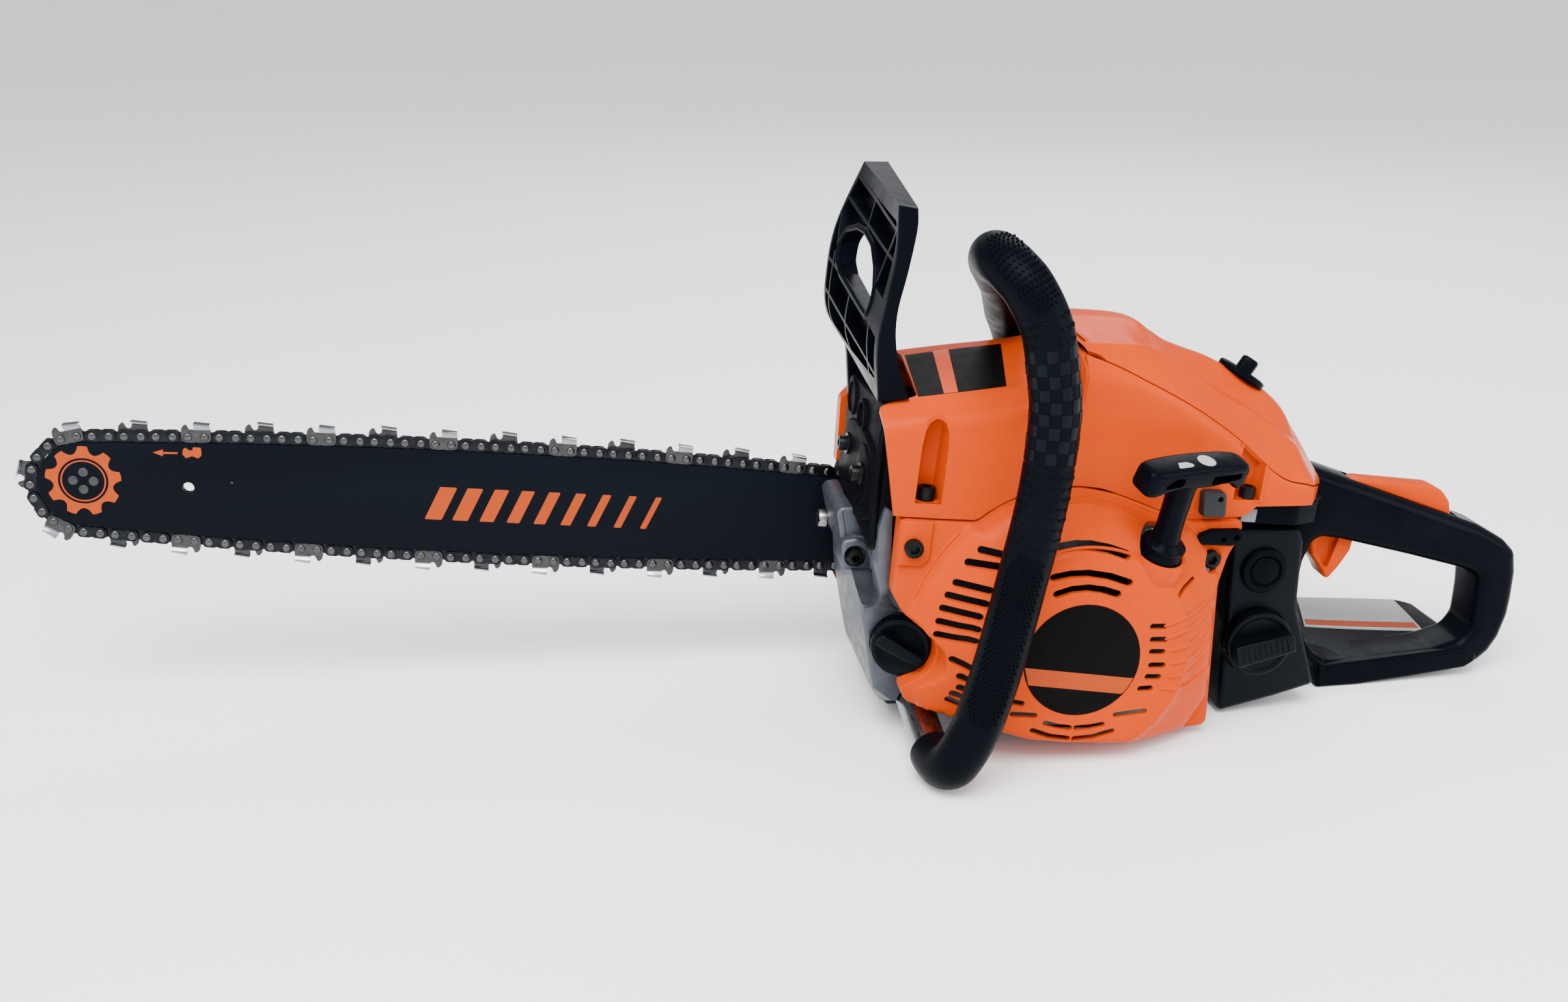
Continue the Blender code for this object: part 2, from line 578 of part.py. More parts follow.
shell = cut(hood(0.0, 185.0, 450.0, 0.0), hood(WALL, 180.0, 447.5, 10.0))
LOWER_SEAM = [(170, 44.9), (234, 44.9), (249, 57.0), (265, 63.8), (292, 67.0), (314, 63.6), (338, 55.6), (356, 51.8), (389, 53.6), (392, 57.6), (470, 57.6),
              (470, 0), (170, 0)]
shell = cut(shell, prism_y(LOWER_SEAM, -140, -88), box(170, 470, -89, 20, 0, 57.6), box(170, 330, -89, 20, 0, 66.0))
shell = cut(shell, box(170, 203.5, -106, 20, 94, 150))                            # room for the brake guard
shell = cut(shell, box(436, 470, -74.6, -39.4, 40, 90))                         # rear handle passes here
UPPER_SEAM = [(288, 200), (288, 133.6), (302, 129), (322, 121), (351, 107.8), (381, 90.5), (394, 81), (405, 74.5), (418, 71.2), (470, 71.2)]
above = UPPER_SEAM + [(470, 200)]
below = [(x, z - 0.4) if x > 288 else (x - 0.4, z - (0.4 if z < 150 else 0)) for x, z in UPPER_SEAM] + [(470, -20), (150, -20), (150, 200)]

top = common(shell.copy(), prism_y(below, -150, 30))
pocket_f = union(box(203.5, 224, -121.0, -104.5, 47.0, 98), box(203.5, 224, -112, -104.5, 45.6, 50))
pocket_r = box(374.5, 397.5, -118.0, -102.0, 58.4, 76.5)
top = union(top, pocket_f, pocket_r)
for x0, x1, z0, z1 in ((206.5, 221.0, 52.0, 92.0), (378.0, 394.5, 63.0, 74.0)):
    top = cut(top, box(x0, x1, -130, -107.5 if x0 < 300 else -105.0, z0, z1))
top = cut(top, rod((213.5, -114.5, 40), (213.5, -114.5, 60), 2.8, 10), rod((387.0, -112.0, 50), (387.0, -112.0, 70), 2.8, 10),
          *[turned(on_cyl(50.0), UP, [(43.0, 0.0), (43.0, 63.0)], 20)])
piece("top_cover", top, "orange")
for tag, x, y, z in (("front", 213.5, -114.5, 52.3), ("rear", 387.0, -112.0, 63.3)):
    piece("top_cover_screw_" + tag, turned((x, y, z), (0, 0, 1), [(2.4, -4.0), (2.4, 0.0), (4.4, 0.1), (4.4, 6.0)], 12), "dark_steel")

filt = common(shell.copy(), prism_y(above, -150, 30))
KNOB_C = Vector((399.2, -57.0, 116.2))
KNOB_AX = Vector((0.46, 0.0, 0.888)).normalized()
filt = cut(filt, rod(KNOB_C - KNOB_AX * 15, KNOB_C + KNOB_AX * 20, 4.4, 12))
piece("filter_cover", filt, "orange")
kx = Vector((0.888, 0.0, -0.46))
bar_k = loft([[KNOB_C + KNOB_AX * h + kx * u + Vector((0, v, 0)) for u, v in ((-4.2, -13), (4.2, -13), (4.2, 13), (-4.2, 13))] for h in (3.0, 9.5)])
knob = union(turned(KNOB_C, KNOB_AX, [(3.8, -12.0), (3.8, 0.9), (14.0, 1.0), (14.0, 3.4), (9.0, 4.4)], 20), bar_k)
piece("filter_knob", knob, "black", tuple(KNOB_C))

# ---------------------------------------------------------------- intake side
piece("intake_boot", ring((333.0, CYL_Y, 69.0), (351.6, CYL_Y, 69.0), 15.0, 10.5, 16), "rubber")
carb = cut(box(352.5, 386, -76, -34, 48, 86), rod((345, CYL_Y, 67.5), (395, CYL_Y, 67.5), 10.5, 16),
           rod((372, -90, 67.5), (372, -20, 67.5), 2.9, 10))
piece("carburettor", carb, "cast")
valve = union(rod((372, -82, 67.5), (372, -30, 67.5), 2.5, 10), rod((371.2, CYL_Y, 67.5), (372.8, CYL_Y, 67.5), 9.6, 14),
              box(370, 374, -82, -78.5, 58, 70))
piece("throttle_valve", valve, "brass", (372, CYL_Y, 67.5))
piece("air_filter", cut(box(338, 396, -94, -20, 88, 101), rod((399, -57, 80), (399, -57, 110), 6, 10)), "felt")

# ---------------------------------------------------------------- starter side
RIM = [(199.6, 44.0), (240, 44.0), (250, 53.8), (265, 61.4), (292, 66.2), (314, 62.8), (338, 54.8), (356, 49.6), (388, 52.0), (387, 42), (382, 32),
       (379, 15), (389, -71.5), (345, -75.2), (322, -77), (299, -77.5), (275, -75), (247, -71.5), (217.5, -66.5), (216, -59), (223, -55), (232, -48),
       (232.5, -34), (223, -22), (207, -8.5), (200.6, 1.5)]


def rim_reach(t, d):
    """Distance from the dome centre to the rim line (moved in by d) at angle t."""
    poly = inset(RIM, d)
    c, s = math.cos(t), math.sin(t)
    best = 1e9
    for i in range(len(poly)):
        (x0, z0), (x1, z1) = poly[i], poly[(i + 1) % len(poly)]
        x0, z0, x1, z1 = x0 - DOME[0], z0 - DOME[1], x1 - DOME[0], z1 - DOME[1]
        dx, dz = x1 - x0, z1 - z0
        den = c * dz - s * dx
        if abs(den) < 1e-9:
            continue
        r = (x0 * dz - z0 * dx) / den
        k = (x0 * s - z0 * c) / den
        if r > 0 and -1e-6 <= k <= 1 + 1e-6:
            best = min(best, r)
    return best


SPOKES = 44
REACH = [rim_reach(2 * math.pi * (i + 0.5) / SPOKES, 0.0) for i in range(SPOKES)]


def dome_ring(y, r_max, d):
    """Ring at depth y: the rim line moved in by d, no wider than r_max."""
    pts = []
    for i, reach in enumerate(REACH):
        t = 2 * math.pi * (i + 0.5) / SPOKES
        r = min(r_max, reach - d)
        pts.append((DOME[0] + r * math.cos(t), y, DOME[1] + r * math.sin(t)))
    return pts


starter = loft([dome_ring(-110.0, 999, 0.0), dome_ring(-120.5, 999, 0.0), dome_ring(-121.5, 999, 1.0), dome_ring(-121.7, 84.0, 1.4), dome_ring(-125.0, 83.0, 1.9),
                dome_ring(-134.0, 75.0, 3.0), dome_ring(-143.0, 65.0, 5.0), dome_ring(-148.0, 58.0, 8.0)])
starter = cut(starter, loft([dome_ring(-105.0, 999, 2.6), dome_ring(-118.8, 999, 2.8), dome_ring(-119.0, 81.0, 3.4), dome_ring(-123.5, 80.0, 4.4),
                             dome_ring(-132.5, 72.0, 5.5), dome_ring(-141.5, 62.0, 7.5), dome_ring(-145.4, 55.0, 10.5)]))
starter = union(starter, rod((AX, -147.0, AZ), (AX, -121.5, AZ), 6.0, 14))
for k in range(2):                                                               # cooling slots
    starter = cut(starter, prism_y(arc_poly(38.5 + 9 * k, 42.0 + 9 * k, 64, 112, 4, *DOME), -152, -128))
for k in range(5):
    z = 22.0 - 13.0 * k
    starter = cut(starter, box(234, 256, -152, -128, z, z + 4.0))
for k in range(4):
    z = -4.0 - 9.5 * k
    starter = cut(starter, box(338, 349, -152, -128, z, z + 3.6))
STEM = Vector((0.124, -0.289, 0.949)).normalized()
COLLAR = Vector((335.0, -137.0, 36.0))
starter = cut(starter, rod(COLLAR - STEM * 1.5, COLLAR + STEM * 60, 12.6, 16))
starter = union(starter, rod(COLLAR - STEM * 15, COLLAR - STEM * 0.5, 13.6, 16))
starter = cut(starter, rod(COLLAR - STEM * 40, COLLAR + STEM * 6, 4.6, 12), rod((227, -100, -71.3), (227, -140, -76.7), TUBE_R + 0.9, 14), rod((207.5, -130, 29), (207.5, -100, 29), 3.2, 10), rod((369.0, -140, 31), (369.0, -100, 31), 3.2, 10), rod((369.0, -140, 31), (369.0, -121.5, 31), 6.0, 14))
piece("starter_cover", starter, "orange")

piece("starter_screw_front", turned((207.5, -121.8, 29), (0, -1, 0), [(2.8, -10.0), (2.8, 0.0), (5.0, 0.1), (5.0, 5.0)], 12), "dark_steel")
piece("starter_screw_rear", turned((369.0, -121.8, 31), (0, -1, 0), [(2.8, -10.0), (2.8, 0.0), (5.0, 0.1), (5.0, 5.0)], 12), "dark_steel")

pulley = cut(turned((AX, -132.0, AZ), (0, 1, 0), [(32.0, 0.0), (32.0, 1.8), (24.0, 2.0), (24.0, 7.5), (32.0, 7.7), (32.0, 9.5)], 24),
             rod((AX, -140, AZ), (AX, -110, AZ), 6.4, 14))
piece("starter_pulley", pulley, "black", (AX, -127, AZ))
piece("recoil_spring", ring((AX, -142.5, AZ), (AX, -133.0, AZ), 27.0, 9.0, 24), "steel")

GRIP_C = Vector((341.0, -151.0, 82.0))
bdir = Vector((0.93, 0.36, 0.05)).normalized()
bup = (STEM - bdir * STEM.dot(bdir)).normalized()
bout = bdir.cross(bup)
sect = [(-8.0, -6.5), (8.0, -6.5), (9.0, 0.0), (7.0, 7.0), (-7.0, 7.0), (-9.0, 0.0)]
tbar = loft([[GRIP_C + bdir * u + bout * (a * w) + bup * (b * w - drop) for a, b in sect]
             for u, w, drop in ((-34, 0.85, 5.0), (-31, 1.0, 4.0), (-12, 1.0, 0.5), (12, 1.0, 0.0), (31, 1.0, 2.5), (34, 0.85, 3.5))])
SLEN = (GRIP_C - COLLAR).length
stem = turned(COLLAR, STEM, [(9.6, 0.3), (9.8, 8.0), (7.6, 12.0), (7.0, 20.0), (8.0, SLEN - 2)], 14)
grip = cut(union(tbar, stem), rod(COLLAR - STEM * 5, COLLAR + STEM * 20, 3.4, 12))
piece("starter_grip", grip, "black", tuple(COLLAR))
rope_top = COLLAR + STEM * 19.0
rope_mid = COLLAR - STEM * 13.0
piece("starter_rope", sweep(smooth_path([(AX + 27.3, -127.2, AZ + 17.0), (AX + 29.5, -129.5, AZ + 27), rope_mid, COLLAR, rope_top], 8.0), 1.8, 8), "rope")

piece("idle_plug", loft([[(x, y, z) for x, z in inset([(358.5, 53.8), (374.5, 53.8), (374.5, 66), (370, 71), (362.5, 71), (358.5, 66)], i)] for y, i in ((-119.6, 0.0), (-123.0, 0.0), (-124.5, 1.5))]), "grey")
piece("jet_grommet", loft([[(x, y, z) for x, z in inset([(363, 38.2), (384.5, 41.0), (386.5, 44), (384.0, 47.6), (362.5, 44.6), (360.5, 41.2)], i)] for y, i in ((-122.0, 0.0), (-125.0, 0.0), (-126.0, 1.0))]), "black")

# ---------------------------------------------------------------- oil cap
cap = union(turned(OIL_C + OIL_AXIS * 0.8, OIL_AXIS, [(10.2, -14.0), (10.2, 0.0), (16.0, 0.1), (16.0, 6.0), (14.0, 8.0)], 20),
            loft([[OIL_C + OIL_AXIS * h + p for p in (Vector((-12, 3, 4)), Vector((11, -3, -9)), Vector((12, -3, -4)), Vector((-11, 3, 9)))] for h in (6.0, 15.0)]))
piece("oil_cap", cap, "black", tuple(OIL_C))

# ---------------------------------------------------------------- fuel tank and rear handle
TANK = [(393, 31), (393.5, 39.5), (431, 41.0), (434.5, 34), (438.7, -6), (453, -38), (458.5, -52), (434, -61), (403.5, -71)]
tank = prism_y(TANK, -100.0, -6.0)
tank = cut(tank, prism_y(inset(TANK, 3.0), -96.5, -9.5), rod((416.8, -110, -25.2), (416.8, -90, -25.2), 14.0, 20),
           rod((405, -40, 25), (405, -40, 50), 4.4, 10))
piece("fuel_tank", tank, "black")
fcap = union(turned((416.8, -94.0, -25.2), (0, -1, 0), [(13.6, 0.0), (13.6, 6.2), (19.0, 6.4), (19.0, 13.0), (17.0, 15.0)], 24),
             loft([[(416.8 + a * math.cos(0.32) - b * math.sin(0.32), y, -25.2 + a * math.sin(0.32) + b * math.cos(0.32)) for a, b in ((-17, -6), (17, -6), (17, 6), (-17, 6))]
                   for y in (-108.0, -117.0)]))
piece("fuel_cap", fcap, "black", (416.8, -100, -25.2))
piece("isolator_plug", turned((413.5, -100.4, 16.5), (0, -1, 0), [(13.0, 0.0), (13.0, 2.5), (11.5, 4.2), (8.0, 4.2), (7.5, 3.4)], 20), "rubber")
piece("fuel_line", union(rod((430, -40, -52), (430, -40, -36), 7.0, 12), sweep(smooth_path([(430, -40, -37.6), (422, -40, 0), (406, -40, 26), (405, -40, 46), (401, -43, 56), (395, -48, 61), (386.8, -51, 62)], 12.0), 2.4, 8)), "rubber")

LOOP = [(443, 69), (473, 61), (537, 43.6), (558, 37.8), (575, 30), (583, 23.5), (586.5, 11), (588, -5), (588.3, -16), (586, -30), (581.5, -40), (574.5, -47.6), (532, -56.6),
        (500, rest_z(500)), (474, rest_z(474)), (471.5, -53), (461, -44), (454.6, -36), (446, -14.5), (440.5, 2), (438, 30), (441, 43), (443, 45)]
HOLE = [(456, 27.6), (474, 25.8), (517, 18.4), (553, 11.4), (560, 9), (563, 5.5), (565, -6), (566.5, -24), (562, -33), (545.6, -39.5), (492, -48.6), (480, -49.5), (471, -44.5),
        (463, -35), (456, -19), (452, -4), (452, 12)]
handle = cut(prism_y(LOOP, -74.0, -41.0), prism_y(HOLE, -90.0, -20.0))
guard_near = [(474, rest_z(474)), (500, rest_z(500)), (532, -56.6), (574.5, -47.6), (581, -41), (576, -34.6), (545.6, -39.6), (477, -51.5), (474, -52.5)]
guard_far = [(474, rest_z(474)), (500, rest_z(500)), (532, -57.0), (574.5, -51), (581, -49), (580, -45), (545.6, -45.2), (477, -46.5), (474, -47.5)]
guard = loft([[(x, -75.0, z) for x, z in guard_near], [(x, 23.0, z) for x, z in guard_far]])
guard = cut(guard, prism_z([(568, 24), (584, 6), (600, 6), (600, 40), (568, 40)], -90, 0))
front = prism_z([(389, -103), (425, -103), (440, -95), (446, -88), (446, -30), (440, -17), (425, -11), (389, -11), (389, -24), (412, -24), (412, -88), (389, -88)], 44.2, 56.8)
handle = union(handle, guard, front)
handle = cut(handle, prism_y([(453, 2), (453, 42), (476, 44), (493, 39), (493, 2)], -66.8, -47.2),
             prism_y([(473, 80), (473, 46.5), (479, 43.0), (546, 22.5), (546, 80)], -64.8, -49.2))
piece("rear_handle", handle, "black")

TRIG = (462.0, 34.0)
trigger = prism_y([(455, 26), (457, 37), (468, 39), (476, 36), (484, 24), (483.5, 18), (476, 4.5), (471.5, 0.0), (461, 12)], -65.8, -48.2)
trigger = cut(trigger, rod((TRIG[0], -80, TRIG[1]), (TRIG[0], -30, TRIG[1]), 2.3, 10))
piece("throttle_trigger", trigger, "orange", (TRIG[0], -57, TRIG[1]))
LOCK = (486.0, 50.5)
lockout = prism_y([(476, 58.5), (479, 60.4), (526, 58.8), (533, 55.8), (539, 49.5), (541, 42), (540, 36), (500, 46.5), (484, 47.5), (477, 53.5)], -63.8, -50.2)
lockout = cut(lockout, rod((LOCK[0], -80, LOCK[1]), (LOCK[0], -30, LOCK[1]), 2.0, 10))
piece("throttle_lockout", lockout, "orange", (LOCK[0], -57, LOCK[1]))
piece("stop_switch", loft([[(x, y, z) for x, z in inset([(390.5, 46.2), (399.5, 46.2), (399.5, 54.0), (390.5, 54.0)], i)] for y, i in ((-103.4, 0.0), (-107.0, 0.0), (-108.0, 1.0))]), "grey", (395, -103.4, 50))

# ---------------------------------------------------------------- front handle
TUBE = [(227, -58, -65.7), (227, -95, -70.6), (227, -130, -75.8), (228.5, -152, -78.2), (232.0, -165, -73.2), (237, -169, -60), (241.5, -169, -46), (247.5, -168, -14.6),
        (252.7, -167, 26.7), (257.5, -166, 72.6), (257.2, -166, 113.9), (253.1, -165, 136.5), (247, -163.5, 157.8), (237.3, -160, 174), (230.5, -153, 181.3),
        (227.5, -143, 183.9), (228, -128, 183.2), (232.6, -110, 178.3), (240.7, -92, 170.6), (253, -66, 158.5), (264, -38, 145), (273, -13, 133.5), (282.5, 4.5, 117), (291, 9.4, 99), (297.5, 10, 80), (300, 10, 62), (300, 10, 48)]
tube_path = smooth_path(TUBE, 30.0)
piece("front_handle", hollow_sweep(tube_path, TUBE_R, 7.6, 8), "steel")
grip_path = [p for p in tube_path if (p.y < -139.0 or p.z > 60.0) and not (p.x > 262.0 and p.y > -42.0)]
piece("handle_grip", hollow_sweep(grip_path, GRIP_R, TUBE_R + 1.25, 8), "rubber")

# ---------------------------------------------------------------- brake guard
near = [(181, 200), (183, 175), (181, 152), (179, 130), (182, 106), (198, 108), (190, 125), (187, 146), (190, 170), (192, 190), (191, 199)]
far = [(184.5, 206), (173, 174), (170, 150), (172, 125), (185, 108), (199, 109), (187, 124), (182, 146), (184, 172), (196, 195), (198, 207)]
guard = loft([[(a[0] + (b[0] - a[0]) * k, -110.0 + 110.0 * k, a[1] + (b[1] - a[1]) * k) for a, b in zip(near, far)] for k in (0.0, 0.5, 1.0)])
guard = cut(guard, prism_x([(-50, 180), (-66, 178), (-76, 171), (-82, 158), (-78, 140), (-60, 145), (-45, 150), (-28, 157), (-25, 167), (-34, 177)], 150, 220))
arm = prism_y([(184, 114), (198, 116), (207, 68), (207, 57), (200, 53.5), (193, 57), (192, 68), (187, 100)], -4.0, 3.2)
guard = cut(union(guard, arm), rod((200, -10, 62), (200, 10, 62), 4.3, 14))
piece("brake_guard", guard, "black", (200, 0, 62))
piece("guard_pivot_pin", turned((200, -5.6, 62), (0, 1, 0), [(6.5, 0.0), (6.5, 1.2), (3.9, 1.3), (3.9, 30.0)], 14), "dark_steel")
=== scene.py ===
"""Looks of the chainsaw: fine shells, chain links, grips and the finish of every surface.

Shapes are drawn in the saw's bar frame, in millimetres (X along the bar to the rear,
Y = 0 the bar's plane with the starter side at -Y, Z up), and moved to the ground frame.
"""
import json
import math

import bmesh
import bpy
import numpy as np
from mathutils import Matrix, Vector

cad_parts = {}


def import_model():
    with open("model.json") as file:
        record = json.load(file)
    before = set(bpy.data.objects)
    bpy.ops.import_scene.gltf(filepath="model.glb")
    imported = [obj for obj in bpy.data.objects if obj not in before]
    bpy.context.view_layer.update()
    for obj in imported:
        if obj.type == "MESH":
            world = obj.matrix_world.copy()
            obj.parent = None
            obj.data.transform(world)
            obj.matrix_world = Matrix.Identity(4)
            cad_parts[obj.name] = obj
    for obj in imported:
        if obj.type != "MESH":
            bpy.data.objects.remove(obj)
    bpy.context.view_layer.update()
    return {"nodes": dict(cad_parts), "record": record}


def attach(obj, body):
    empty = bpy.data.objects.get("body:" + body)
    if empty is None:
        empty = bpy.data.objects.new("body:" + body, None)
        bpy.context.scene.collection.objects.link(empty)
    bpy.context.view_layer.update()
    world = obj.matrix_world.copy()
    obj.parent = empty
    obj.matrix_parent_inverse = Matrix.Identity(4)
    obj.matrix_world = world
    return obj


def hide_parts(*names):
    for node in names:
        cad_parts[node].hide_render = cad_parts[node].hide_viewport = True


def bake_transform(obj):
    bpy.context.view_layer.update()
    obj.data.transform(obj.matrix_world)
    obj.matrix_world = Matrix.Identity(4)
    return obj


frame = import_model()
NODES = frame["nodes"]

# ------------------------------------------------------------------ bar frame to ground frame
TILT = math.radians(6.0)
CT, ST = math.cos(TILT), math.sin(TILT)
SHIFT = (-162.87, 62.43, 114.67)
TO_WORLD = Matrix(((CT * 0.001, 0, ST * 0.001, SHIFT[0] * 0.001), (0, 0.001, 0, SHIFT[1] * 0.001),
                   (-ST * 0.001, 0, CT * 0.001, SHIFT[2] * 0.001), (0, 0, 0, 1)))


def A(*p):
    return np.array(p, float)


def unit(v):
    v = np.asarray(v, float)
    return v / np.linalg.norm(v)


def world(p):
    return TO_WORLD @ Vector([float(c) for c in p])


# ------------------------------------------------------------------ mesh kit
def loft(rings, closed=True, caps=(True, True), loop=False):
    rings = [np.asarray(r, float) for r in rings]
    n, m = len(rings[0]), len(rings)
    f = []
    for k in range(m if loop else m - 1):
        a, b = k * n, ((k + 1) % m) * n
        for i in range(n if closed else n - 1):
            j = (i + 1) % n
            f.append((a + i, a + j, b + j, b + i))
    if not loop and closed:
        if caps[0]:
            f.append(tuple(range(n))[::-1])
        if caps[1]:
            f.append(tuple((m - 1) * n + i for i in range(n)))
    return np.concatenate(rings), f


def join(*parts):
    v, f, n = [], [], 0
    for pv, pf in parts:
        v.append(np.asarray(pv, float))
        f += [tuple(i + n for i in q) for q in pf]
        n += len(pv)
    return np.concatenate(v), f


def basis(axis, ref=None):
    a = unit(axis)
    r = np.asarray(ref, float) if ref is not None else (A(0, 0, 1) if abs(a[2]) < 0.9 else A(1, 0, 0))
    u = unit(np.cross(a, r))
    return a, u, np.cross(a, u)


def rev(origin, axis, profile, n=32):
    """Turned solid, profile = (radius, distance along the axis)."""
    a, u, v = basis(axis)
    o = np.asarray(origin, float)
    t = np.linspace(0, 2 * math.pi, n, endpoint=False)
    circle = np.outer(np.cos(t), u) + np.outer(np.sin(t), v)
    return loft([o + a * h + circle * max(r, 0.02) for r, h in profile])


def rod(p, q, r, n=24, bevel=0.0):
    p, q = np.asarray(p, float), np.asarray(q, float)
    d = np.linalg.norm(q - p)
    if bevel:
        return rev(p, q - p, [(r - bevel, 0), (r - bevel * 0.3, bevel * 0.3), (r, bevel), (r, d - bevel), (r - bevel * 0.3, d - bevel * 0.3), (r - bevel, d)], n)
    return rev(p, q - p, [(r, 0), (r, d)], n)


def fillet(poly, r, seg=5, closed=True):
    p = [np.asarray(q, float) for q in poly]
    n = len(p)
    rr = list(r) if isinstance(r, (list, tuple)) else [r] * n
    out = []
    for i in range(n):
        b = p[i]
        if not closed and i in (0, n - 1):
            out.append(b)
            continue
        a, c = p[i - 1], p[(i + 1) % n]
        u, w = a - b, c - b
        lu, lw = np.linalg.norm(u), np.linalg.norm(w)
        u, w = u / lu, w / lw
        ang = math.acos(max(-1.0, min(1.0, float(u @ w))))
        if rr[i] <= 0.01:
            out += [b]
            continue
        if ang > math.pi - 0.004:
            out += [b + u * min(rr[i] * 0.2, lu * 0.3) * (1 - 2 * k / seg) if k * 2 <= seg else b + w * min(rr[i] * 0.2, lw * 0.3) * (2 * k / seg - 1) for k in range(seg + 1)]
            continue
        t = min(rr[i] / math.tan(ang / 2), lu * 0.49, lw * 0.49)
        rad = t * math.tan(ang / 2)
        c0 = b + unit(u + w) * (rad / math.sin(ang / 2))
        p0, p1 = b + u * t - c0, b + w * t - c0
        a0, a1 = math.atan2(p0[1], p0[0]), math.atan2(p1[1], p1[0])
        d = (a1 - a0 + math.pi) % (2 * math.pi) - math.pi
        out += [c0 + rad * A(math.cos(a0 + d * k / seg), math.sin(a0 + d * k / seg)) for k in range(seg + 1)]
    return np.array(out)


def inset(poly, d):
    """Closed outline moved in by d (one number, or one per point)."""
    p = np.asarray(poly, float)
    area = np.sum(p[:, 0] * np.roll(p[:, 1], -1) - np.roll(p[:, 0], -1) * p[:, 1])
    s = 1.0 if area > 0 else -1.0
    e0, e1 = p - np.roll(p, 1, 0), np.roll(p, -1, 0) - p
    e0 = e0 / np.maximum(np.linalg.norm(e0, axis=1), 1e-9)[:, None]
    e1 = e1 / np.maximum(np.linalg.norm(e1, axis=1), 1e-9)[:, None]
    n0, n1 = np.column_stack([-e0[:, 1], e0[:, 0]]) * s, np.column_stack([-e1[:, 1], e1[:, 0]]) * s
    m = n0 + n1
    m = m / np.maximum(np.linalg.norm(m, axis=1), 1e-9)[:, None]
    k = np.maximum(np.sum(m * n0, axis=1), 0.4)
    q = p + m * (np.broadcast_to(np.asarray(d, float), k.shape) / k)[:, None]
    n = len(p)
    dead = np.zeros(n, bool)
    for _ in range(8):
        turned = np.sum((np.roll(p, -1, 0) - p) * (np.roll(q, -1, 0) - q), axis=1) < -1e-12
        if not (turned & ~dead).any() or (dead | turned).all():
            break
        dead |= turned
        first = int(np.argmin(dead))
        i = 1
        while i < n:
            a = (first + i) % n
            if not dead[a]:
                i += 1
                continue
            run = 0
            while dead[(a + run) % n]:
                run += 1
            b = (a + run) % n
            g, h = e1[a - 1], e1[b]
            den = g[0] * h[1] - g[1] * h[0]
            if abs(den) > 0.02:
                w = q[(b + 1) % n] - q[a - 1]
                x = q[a - 1] + g * ((w[0] * h[1] - w[1] * h[0]) / den)
            else:
                x = (q[a] + q[b]) / 2
            for j in range(run + 1):
                q[(a + j) % n] = x
            i += run + 1
    return q


def at_y(poly, y):
    p = np.asarray(poly, float)
    return np.column_stack([p[:, 0], np.full(len(p), float(y)), p[:, 1]])


def plate(poly, y0, y1, r=1.0, seg=3, back=0.0):
    """Slab between y0 and y1 with its edges at y1 (and, if asked, at y0) rounded."""
    s = 1.0 if y0 > y1 else -1.0
    rings = []
    if back > 0:
        for k in range(seg):
            a = math.pi / 2 * k / seg
            rings.append(at_y(inset(poly, back * (1 - math.sin(a))), y0 - s * back * (1 - math.cos(a))))
        rings.append(at_y(poly, y0 - s * back))
    else:
        rings.append(at_y(poly, y0))
    if r > 0:
        for k in range(seg + 1):
            a = math.pi / 2 * k / seg
            rings.append(at_y(inset(poly, r * (1 - math.cos(a))), y1 + s * r * (1 - math.sin(a))))
    else:
        rings.append(at_y(poly, y1))
    return loft(rings)


def flared(poly, y0, y1, r=1.0, seg=3):
    """Cutter through a slab between y0 and y1 whose hole edges come out rounded."""
    s = 1.0 if y1 > y0 else -1.0
    rings = [at_y(inset(poly, -r * 1.06), y0 - s * 4.0)]
    for k in range(seg + 1):
        a = math.pi / 2 * k / seg
        rings.append(at_y(inset(poly, -r * (1 - math.sin(a))), y0 + s * r * (1 - math.cos(a))))
    for k in range(seg, -1, -1):
        a = math.pi / 2 * k / seg
        rings.append(at_y(inset(poly, -r * (1 - math.sin(a))), y1 - s * r * (1 - math.cos(a))))
    rings.append(at_y(inset(poly, -r * 1.06), y1 + s * 4.0))
    return loft(rings)


def put(vf, origin, ex, ey, ez):
    """Moves a shape drawn at the origin onto three axes."""
    v, f = vf
    v = np.asarray(v, float)
    return np.asarray(origin, float) + np.outer(v[:, 0], ex) + np.outer(v[:, 1], ey) + np.outer(v[:, 2], ez), f


def spline(pts, step):
    p = np.asarray(pts, float)
    p = np.vstack([2 * p[0] - p[1], p, 2 * p[-1] - p[-2]])
    out = []
    for i in range(1, len(p) - 2):
        n = max(1, int(round(np.linalg.norm(p[i + 1] - p[i]) / step)))
        for k in range(n):
            t = k / n
            out.append(0.5 * (2 * p[i] + (p[i + 1] - p[i - 1]) * t + (2 * p[i - 1] - 5 * p[i] + 4 * p[i + 1] - p[i + 2]) * t * t
                              + (3 * p[i] - p[i - 1] - 3 * p[i + 1] + p[i + 2]) * t ** 3))
    out.append(p[-2])
    return np.array(out)


def frames(path, up=None):
    t = np.gradient(path, axis=0)
    t = t / np.linalg.norm(t, axis=1)[:, None]
    u = basis(t[0], up)[1]
    us = []
    for k in range(len(path)):
        u = unit(u - t[k] * (u @ t[k]))
        us.append(u)
    us = np.array(us)
    return t, us, np.cross(t, us)


def tube(path, r, n=16, caps=(True, True), up=None):
    path = np.asarray(path, float)
    r = np.broadcast_to(np.asarray(r, float), (len(path),))
    t, u, v = frames(path, up)
    a = np.linspace(0, 2 * math.pi, n, endpoint=False)
    return loft([path[k] + r[k] * (np.outer(np.cos(a), u[k]) + np.outer(np.sin(a), v[k])) for k in range(len(path))], caps=caps)


